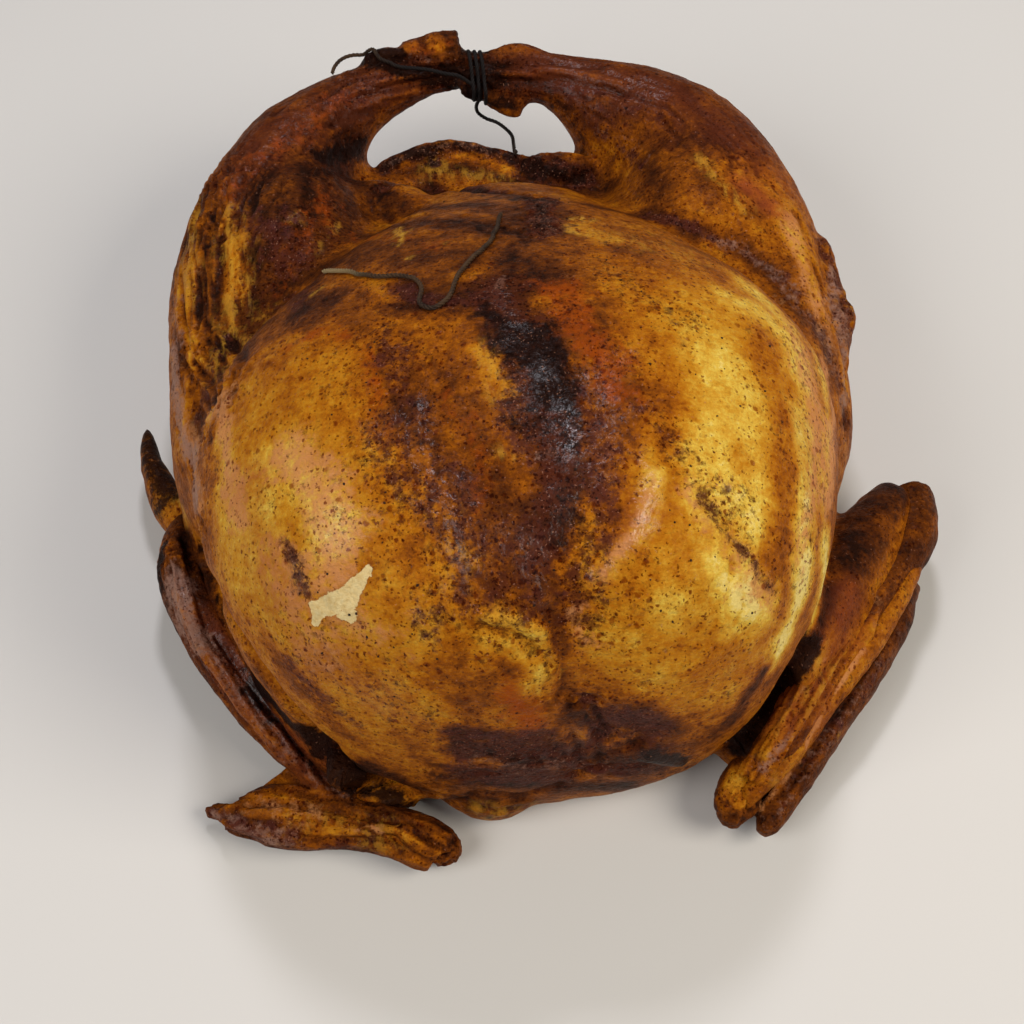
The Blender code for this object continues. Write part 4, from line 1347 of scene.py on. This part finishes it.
def roast_skin():
    """Poultry skin roasted with butter and pepper: fat shows gold where it is thin, and sugars
    brown it through orange and mahogany to black."""
    # Besides roast, burn and fat, the painted marks carry painted shade in creases, gaps and under the
    # neck, and painted sheen and highlights on the sides and ridges.
    made, t = new_material("roast poultry skin")
    where = t.add("ShaderNodeTexCoord").outputs["Object"]
    space = {"even": where}
    for name, stretch in SKIN_PULLS.items():
        space[name] = t.add("ShaderNodeMapping", {"Vector": where, "Scale": stretch})
    grain = {}
    for name, (run, size_mm, detail, roughness, distortion) in SKIN_PATTERNS.items():
        grain[name] = t.add(
            "ShaderNodeTexNoise",
            {
                "Vector": space[run],
                "Scale": 1000 / size_mm,
                "Detail": detail,
                "Roughness": roughness,
                "Distortion": distortion,
            },
        )
    mark = {}
    for name in ("roast", "fold", *(name for name in MARKS if name != "pepper")):
        mark[name] = t.add("ShaderNodeAttribute", attribute_name=name).outputs["Fac"]

    def swayed(value, pattern, low, high, curve="LINEAR"):
        """A value that a pattern moves by between low and high."""
        sway = t.add("ShaderNodeMapRange", (pattern, 0.3, 0.7, low, high), interpolation_type=curve)
        return t.add("ShaderNodeMath", (value, sway), operation="ADD")

    def islands(name, reach=0.4):
        """A painted mark broken up into islands by its own pattern."""
        broken = swayed(mark[name], grain[name], -reach, reach)
        return t.add("ShaderNodeMapRange", (broken, 0.3, 0.9), interpolation_type="SMOOTHSTEP")

    def laid(under, tint, share, strength, blend="MIX"):
        """A tint laid over a colour where the share is high, that strongly at most."""
        share = t.add("ShaderNodeMath", (share, strength), operation="MULTIPLY")
        return t.add("ShaderNodeMix", (share, under, tint), data_type="RGBA", blend_type=blend)

    # Skin folded in is drawn darker and raised skin lighter: painted shade in the creases.
    roast = t.add("ShaderNodeMath", (mark["fold"], -0.14, mark["roast"]), operation="MULTIPLY_ADD")
    for name, reach in (("patches", 0.12), ("mottle", 0.08), ("creased", -0.05), ("fine", 0.05)):
        roast = swayed(roast, grain[name], -reach, reach)
    colour = t.add("ShaderNodeValToRGB", (roast,))
    stops = colour.color_ramp.elements
    while len(stops) < len(ROAST_COLOURS):
        stops.new(0.5)
    for stop, (place, shade) in zip(stops, ROAST_COLOURS):
        stop.position = place
        stop.color = linear(shade)

    colour = laid(colour, "8a3a08", islands("ember"), 0.75)
    # Pinkish tan: dried skin, painted sheen on the sides and painted highlights on ridges.
    colour = laid(colour, "bd7f4c", islands("tan_and_sheen"), 0.8)
    clouded = t.add(
        "ShaderNodeMapRange", (grain["patches"], 0.25, 0.75, 0.5, 1), interpolation_type="SMOOTHSTEP"
    )
    colour = laid(colour, "8a3f22", mark["rose"], clouded)
    streaks = t.add("ShaderNodeMath", (mark["fold"], 0.12, grain["streaks"]), operation="MULTIPLY_ADD")
    streaks = t.add("ShaderNodeMapRange", (streaks, 0.42, 0.62), interpolation_type="SMOOTHSTEP")
    colour = laid(colour, "b8862a", mark["gold"], streaks)
    plum = islands("plum", 0.6)
    colour = laid(colour, "4a2420", plum, 0.8)
    # Greyish mauve: dry skin, and painted sheen on the flanks, the hip and the wings.
    colour = laid(colour, "8a6858", islands("greyed_and_sheen"), 0.85)

    crowd = t.add("ShaderNodeMath", (plum, 0.25, mark["clots"]), operation="MULTIPLY_ADD")
    crowd = swayed(crowd, grain["patches"], 0.14, -0.14)
    # More clots where the skin folds in: painted shade in the creases as well.
    crowd = t.add("ShaderNodeMath", (mark["fold"], -0.12, crowd), operation="MULTIPLY_ADD")
    clots = t.add("ShaderNodeMath", (crowd, 0.9), operation="MULTIPLY")
    clots = swayed(clots, grain["clots"], 0, 1)
    cover = t.add("ShaderNodeMapRange", (clots, 0.95, 1.35), interpolation_type="SMOOTHSTEP")
    crust = t.add("ShaderNodeMix", (grain["fine"], "401a08", "4c2212"), data_type="RGBA")
    colour = laid(colour, crust, cover, 0.75)
    # Burnt black, which also paints the shadows in the gaps by the wings.
    char_and_shadow = swayed(mark["char_and_shadow"], grain["mottle"], -0.4, 0.4)
    char_and_shadow = t.add("ShaderNodeMapRange", (char_and_shadow, 0.2, 0.85), interpolation_type="SMOOTHSTEP")
    colour = laid(colour, "150a08", char_and_shadow, 0.94)

    shake = t.add("ShaderNodeTexNoise", {"Vector": where, "Scale": SHAKES_PER_METRE, "Detail": 3})
    shake = t.add("ShaderNodeVectorMath", (shake.outputs["Color"], SHAKE_REACH), operation="SCALE")
    shaken = t.add("ShaderNodeVectorMath", (where, shake), operation="ADD")

    def dotted(under, tint, spacing_mm, radius, chances, strength, blend="MULTIPLY"):
        """Round spots, one in a cell at most, more of them where the chances are higher."""
        cells = t.add("ShaderNodeTexVoronoi", {"Vector": shaken, "Scale": 1000 / spacing_mm})
        lot = t.add("ShaderNodeSeparateColor", (cells.outputs["Color"],))
        there = t.add("ShaderNodeMath", (chances, lot), operation="SUBTRACT")
        there = t.add("ShaderNodeMapRange", (there, -0.05, 0.1), interpolation_type="SMOOTHSTEP")
        spot = t.add("ShaderNodeMapRange", (cells, radius, radius / 2), interpolation_type="SMOOTHSTEP")
        spot = t.add("ShaderNodeMath", (spot, there), operation="MULTIPLY")
        return laid(under, tint, spot, strength, blend)

    few = t.add("ShaderNodeMath", (crowd, -0.12), operation="ADD")
    some = t.add("ShaderNodeMath", (crowd, -0.08), operation="ADD")
    in_plum = t.add("ShaderNodeMath", (plum, 0.5, 0.1), operation="MULTIPLY_ADD")
    colour = dotted(colour, "a06444", 4.0, 0.36, few, 0.75)
    colour = dotted(colour, "8a4c38", 2.2, 0.38, some, 0.85)
    colour = dotted(colour, "784432", 1.3, 0.42, crowd, 0.8)
    # Pale dots among the plum blots: painted glints, tiny highlights on the crinkled skin.
    colour = dotted(colour, "a8755c", 1.2, 0.3, in_plum, 0.4, "MIX")

    torn = swayed(mark["torn"], grain["mottle"], -0.15, 0.15, "SMOOTHSTEP")
    rim = t.add("ShaderNodeMapRange", (torn, 0.22, 0.38, 0, 0.5), interpolation_type="SMOOTHSTEP")
    colour = t.add("ShaderNodeMix", (rim, colour, "8f5c2c"), data_type="RGBA")
    torn = t.add("ShaderNodeMapRange", (torn, 0.4, 0.47), interpolation_type="SMOOTHSTEP")
    meat = t.add("ShaderNodeMix", (grain["meat"], "b8924e", "dfcf9c"), data_type="RGBA")
    colour = t.add("ShaderNodeMix", (torn, colour, meat), data_type="RGBA")

    pores = t.add("ShaderNodeTexVoronoi", {"Vector": where, "Scale": PORES_PER_METRE}, feature="SMOOTH_F1")
    bumps = (
        (grain["mottle"], 0.5),
        (grain["fine"], 0.35),
        (pores, 0.2),
        (grain["crinkles"], 0.5),
        (cover, 0.12),
        (grain["creased"], 0.5),
    )
    height = 0
    for pattern, share in bumps:
        height = t.add("ShaderNodeMath", (pattern, share, height), operation="MULTIPLY_ADD")
    rough = t.add(
        "ShaderNodeMapRange", (grain["mottle"], 0.3, 0.7, 0.42, 0.56), interpolation_type="SMOOTHSTEP"
    )
    rough = t.add("ShaderNodeMath", (char_and_shadow, -0.08, rough), operation="MULTIPLY_ADD")
    rough = t.add("ShaderNodeMath", (torn, 0.15, rough), operation="MULTIPLY_ADD")
    shader = t.add(
        "ShaderNodeBsdfPrincipled",
        {
            "Base Color": colour,
            "Roughness": rough,
            "IOR": 1.42,
            "Specular IOR Level": 0.08,
            "Specular Tint": "ff9a50",
            "Normal": t.add("ShaderNodeBump", {"Height": height, "Distance": 0.0013}),
            "Coat Weight": mark["glaze"],
            "Coat Roughness": 0.27,
            "Coat Normal": t.add("ShaderNodeBump", {"Height": grain["ripples"], "Distance": 0.0009}),
        },
    )
    t.add("ShaderNodeOutputMaterial", {"Surface": shader})
    return made


def baked_twine():
    """Cotton butcher's twine of twisted strands, browned and greased in the oven, burnt at its
    tie and still pale at its cut end."""
    made, t = new_material("baked cotton twine")
    where = t.add("ShaderNodeTexCoord").outputs["Object"]
    fibres = t.add("ShaderNodeTexNoise", {"Vector": where, "Scale": 1000 / FIBRE_MM, "Detail": 4})
    stains = t.add("ShaderNodeTexNoise", {"Vector": where, "Scale": 1000 / STAIN_MM, "Detail": 3})
    stains = t.add("ShaderNodeMapRange", (stains, 0.35, 0.65), interpolation_type="SMOOTHSTEP")
    colour = t.add("ShaderNodeMix", (stains, "20140c", "3d2a18"), data_type="RGBA")
    worn = t.add("ShaderNodeMapRange", (fibres, 0.4, 0.8, 0, 0.4), interpolation_type="SMOOTHSTEP")
    colour = t.add("ShaderNodeMix", (worn, colour, "5c4428"), data_type="RGBA")
    pale = t.add("ShaderNodeMix", (fibres, "6e5838", "93805a"), data_type="RGBA")
    for place, near, far, shade in ((TAIL_END, 0.012, 0.034, pale), (TIE_MIDDLE, 0.03, 0.055, "0f0907")):
        away = t.add("ShaderNodeVectorMath", (where, place), operation="DISTANCE")
        away = t.add("ShaderNodeMapRange", (away, near, far), interpolation_type="SMOOTHSTEP")
        colour = t.add("ShaderNodeMix", (away, shade, colour), data_type="RGBA")
    shader = t.add(
        "ShaderNodeBsdfPrincipled",
        {
            "Base Color": colour,
            "Roughness": 0.75,
            "Specular IOR Level": 0.2,
            "Normal": t.add("ShaderNodeBump", {"Height": fibres, "Strength": 0.6, "Distance": 0.0003}),
        },
    )
    t.add("ShaderNodeOutputMaterial", {"Surface": shader})
    return made


def cracked_pepper():
    """Coarsely ground black pepper, scorched."""
    made, t = new_material("cracked black pepper")
    where = t.add("ShaderNodeTexCoord").outputs["Object"]
    mixed = t.add("ShaderNodeTexNoise", {"Vector": where, "Scale": 1000 / GRAIN_TINT_MM, "Detail": 3})
    colour = t.add("ShaderNodeMix", (mixed, "120a07", "351c0e"), data_type="RGBA")
    shader = t.add(
        "ShaderNodeBsdfPrincipled", {"Base Color": colour, "Roughness": 0.6, "Specular IOR Level": 0.15}
    )
    t.add("ShaderNodeOutputMaterial", {"Surface": shader})
    return made


def matt_floor():
    """A pale sheet of matt paper to stand things on."""
    made, t = new_material("matt pale paper")
    shader = t.add("ShaderNodeBsdfPrincipled", {"Base Color": "c6c3bd", "Roughness": 0.8})
    t.add("ShaderNodeOutputMaterial", {"Surface": shader})
    return made


def geometry_tree(name, inputs):
    """An empty Geometry Nodes tree with named inputs."""
    tree = bpy.data.node_groups.new(name, "GeometryNodeTree")
    tree.interface.new_socket("Geometry", in_out="INPUT", socket_type="NodeSocketGeometry")
    for label, kind in inputs.items():
        tree.interface.new_socket(label, in_out="INPUT", socket_type=kind)
    tree.interface.new_socket("Geometry", in_out="OUTPUT", socket_type="NodeSocketGeometry")
    t = Tree(tree)
    return tree, t, t.add("NodeGroupInput").outputs


def finish_tree(t, geometry, material):
    """Makes what a tree has grown real, and gives it its material."""
    real = t.add("GeometryNodeRealizeInstances", {"Geometry": geometry})
    looks = t.add("GeometryNodeSetMaterial", {"Geometry": real, "Material": material})
    t.add("NodeGroupOutput", (looks,))


def grown(thing, tree, values):
    """The plain mesh that a Geometry Nodes tree makes from the object."""
    modifier = thing.modifiers.new(tree.name, "NODES")
    modifier.node_group = tree
    for item in tree.interface.items_tree:
        if item.in_out == "INPUT" and item.name in values:
            modifier[item.identifier] = values[item.name]
    graph = bpy.context.evaluated_depsgraph_get()
    graph.update()
    mesh = bpy.data.meshes.new_from_object(thing.evaluated_get(graph))
    thing.modifiers.clear()
    return mesh


def laid_twine_tree():
    """Strands twisted round each other along a curve."""
    tree, t, given = geometry_tree(
        "laid twine",
        {
            "Strands": "NodeSocketInt",
            "Strand radius": "NodeSocketFloat",
            "Twist length": "NodeSocketFloat",
            "Material": "NodeSocketMaterial",
        },
    )
    fine = t.add(
        "GeometryNodeResampleCurve", {"Curve": given["Geometry"], "Length": STRAND_STEP}, mode="LENGTH"
    )
    copies = t.add(
        "GeometryNodeDuplicateElements", {"Geometry": fine, "Amount": given["Strands"]}, domain="SPLINE"
    )
    along = t.add("GeometryNodeSplineParameter").outputs["Length"]
    turns = t.add("ShaderNodeMath", (along, given["Twist length"]), operation="DIVIDE")
    index = copies.outputs["Duplicate Index"]
    share = t.add("ShaderNodeMath", (index, given["Strands"]), operation="DIVIDE")
    turns = t.add("ShaderNodeMath", (turns, share), operation="ADD")
    angle = t.add("ShaderNodeMath", (turns, math.tau), operation="MULTIPLY")
    normal = t.add("GeometryNodeInputNormal")
    tangent = t.add("GeometryNodeInputTangent")
    turned = t.add("ShaderNodeVectorRotate", {"Vector": normal, "Axis": tangent, "Angle": angle})
    offset = t.add("ShaderNodeVectorMath", (turned, given["Strand radius"]), operation="SCALE")
    moved = t.add("GeometryNodeSetPosition", {"Geometry": copies, "Offset": offset})
    ring = t.add(
        "GeometryNodeCurvePrimitiveCircle", {"Resolution": STRAND_SIDES, "Radius": given["Strand radius"]}
    )
    tube = t.add("GeometryNodeCurveToMesh", {"Curve": moved, "Profile Curve": ring, "Fill Caps": True})
    soft = t.add("GeometryNodeSetShadeSmooth", {"Geometry": tube})
    finish_tree(t, soft, given["Material"])
    return tree


def pepper_tree():
    """Grains stuck on a skin where its pepper value is high."""
    tree, t, given = geometry_tree(
        "pepper grains",
        {
            "Grains per square metre": "NodeSocketFloat",
            "Smallest": "NodeSocketFloat",
            "Largest": "NodeSocketFloat",
            "Seed": "NodeSocketInt",
            "Material": "NodeSocketMaterial",
        },
    )
    peppered = t.add("GeometryNodeInputNamedAttribute", {"Name": "pepper"}, data_type="FLOAT")
    thick = t.add("ShaderNodeMath", (peppered, 2), operation="POWER")
    density = t.add("ShaderNodeMath", (thick, given["Grains per square metre"]), operation="MULTIPLY")
    spots = t.add(
        "GeometryNodeDistributePointsOnFaces",
        {"Mesh": given["Geometry"], "Density": density, "Seed": given["Seed"]},
    )
    nugget = t.add("GeometryNodeMeshIcoSphere", {"Radius": 1, "Subdivisions": 1})
    size = t.add("FunctionNodeRandomValue", (given["Smallest"], given["Largest"]), data_type="FLOAT")
    stretch = t.add("FunctionNodeRandomValue", (FLATTEST_GRAIN, LONGEST_GRAIN), data_type="FLOAT_VECTOR")
    scale = t.add("ShaderNodeVectorMath", (stretch, size), operation="SCALE")
    turn = t.add("FunctionNodeRandomValue", ((0, 0, 0), [math.tau] * 3), data_type="FLOAT_VECTOR")
    grains = t.add(
        "GeometryNodeInstanceOnPoints",
        {"Points": spots, "Instance": nugget, "Scale": scale, "Rotation": turn},
    )
    finish_tree(t, grains, given["Material"])
    return tree


def curve_through(name, points):
    data = bpy.data.curves.new(name, "CURVE")
    data.dimensions = "3D"
    spline = data.splines.new("POLY")
    spline.points.add(len(points) - 1)
    for spot, point in zip(spline.points, points):
        spot.co = (*point, 1)
    return piece(name, data)


def evenly(points, spacing):
    """The same path with its points an even step apart."""
    points = np.array(points)
    along = np.concatenate([[0], np.cumsum(np.linalg.norm(np.diff(points, axis=0), axis=1))])
    steps = np.linspace(0, along[-1], max(2, round(along[-1] / spacing)) + 1)
    return [Vector([np.interp(step, along, points[:, axis]) for axis in range(3)]) for step in steps]


def kept_clear(points, skin, clearance):
    """Points moved off the skin where they are nearer than the clearance, or inside it."""
    moved = []
    for point in points:
        spot, normal, _, distance = skin.find_nearest(point)
        if (point - spot).dot(normal) < 0 or distance < clearance:
            point = spot + normal * clearance
        moved.append(point)
    return moved


def tie_points(skin):
    """Turns of twine drawn tight round the two shanks together."""
    start = real_size(TIE_START)
    spots, radii = [], []
    for k in range(TIE_TURNS * TURN_POINTS + 1):
        angle = math.tau * k / TURN_POINTS
        out = Vector((0, math.cos(angle), math.sin(angle)))
        axis = start + Vector((TIE_STEP * k / TURN_POINTS, 0, 0))
        hit = skin.ray_cast(axis + out * TIE_REACH, -out)[0]
        spots.append((axis, out))
        radii.append((hit - axis).length)
    tight = [max(radii[max(0, k - TIE_SPAN) : k + TIE_SPAN + 1]) for k in range(len(radii))]
    return [axis + out * (radius + TWINE / 2 - TIE_SUNK) for (axis, out), radius in zip(spots, tight)]


def make_twine(skin_piece):
    skin = surface(skin_piece)
    tree = laid_twine_tree()
    twist = {
        "Strands": STRANDS,
        "Strand radius": TWINE / 4,
        "Twist length": TWIST_LENGTH,
        "Material": baked_twine(),
    }
    paths = {"leg_tie": evenly(tie_points(skin), TWINE)}
    for name, route in TWINE_ROUTES.items():
        before, after = TWINE_ENDS[name]
        path = [real_size(row) for row in smooth_curve(before + route + after, 8)]
        path = evenly(kept_clear(path, skin, TWINE / 2 + TWINE_LIFT), TWINE)
        paths[name] = kept_clear(path, skin, TWINE / 2 + TWINE_LIFT)
    for name, path in paths.items():
        guide = curve_through(f"{name}_guide", path)
        made = piece(f"{name}_twisted", grown(guide, tree, twist))
        bpy.data.objects.remove(guide)
        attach(made, "root")
        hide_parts(name)


def make_pepper(skin_piece):
    mesh = grown(skin_piece, pepper_tree(), {**PEPPER_GRAINS, "Material": cracked_pepper()})
    made = piece("pepper_grains", mesh)
    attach(made, "root")


def make_bird():
    bird = whole_skin()
    dress_body(bird)
    skins = [bird] + [dressed_wing(name, limbs) for name, limbs in WINGS.items()]
    look = roast_skin()
    for skin in skins:
        skin.data.materials.clear()
        skin.data.materials.append(look)
        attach(skin, "root")
        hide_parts("bird")
    return bird


def make_studio():
    """A plain pale floor under soft lamps on both sides and a small high one behind."""
    bm = bmesh.new()
    bmesh.ops.create_grid(bm, x_segments=1, y_segments=1, size=3)
    floor = mesh_piece("floor", bm)
    floor.data.transform(Matrix.Translation((0, 0, -FLOOR_DROP)))
    floor.data.materials.append(matt_floor())
    for name, (spot, size, watts, colour) in LAMPS.items():
        data = bpy.data.lights.new(name, "AREA")
        data.size = size
        data.energy = watts
        data.color = linear(colour)[:3]
        lamp = piece(name, data)
        lamp.location = spot
        lamp.rotation_euler = (-Vector(spot)).to_track_quat("-Z", "Y").to_euler()
    world = bpy.data.worlds.new("pale room")
    world.use_nodes = True
    world.node_tree.nodes["Background"].inputs["Color"].default_value = linear("e6e8ee")
    world.node_tree.nodes["Background"].inputs["Strength"].default_value = 0.15
    bpy.context.scene.world = world
    bpy.context.scene.view_settings.view_transform = "Standard"


CAMERA_TURN = make_camera().matrix_world.to_3x3()
bird = make_bird()
make_twine(bird)
make_pepper(bird)
make_studio()
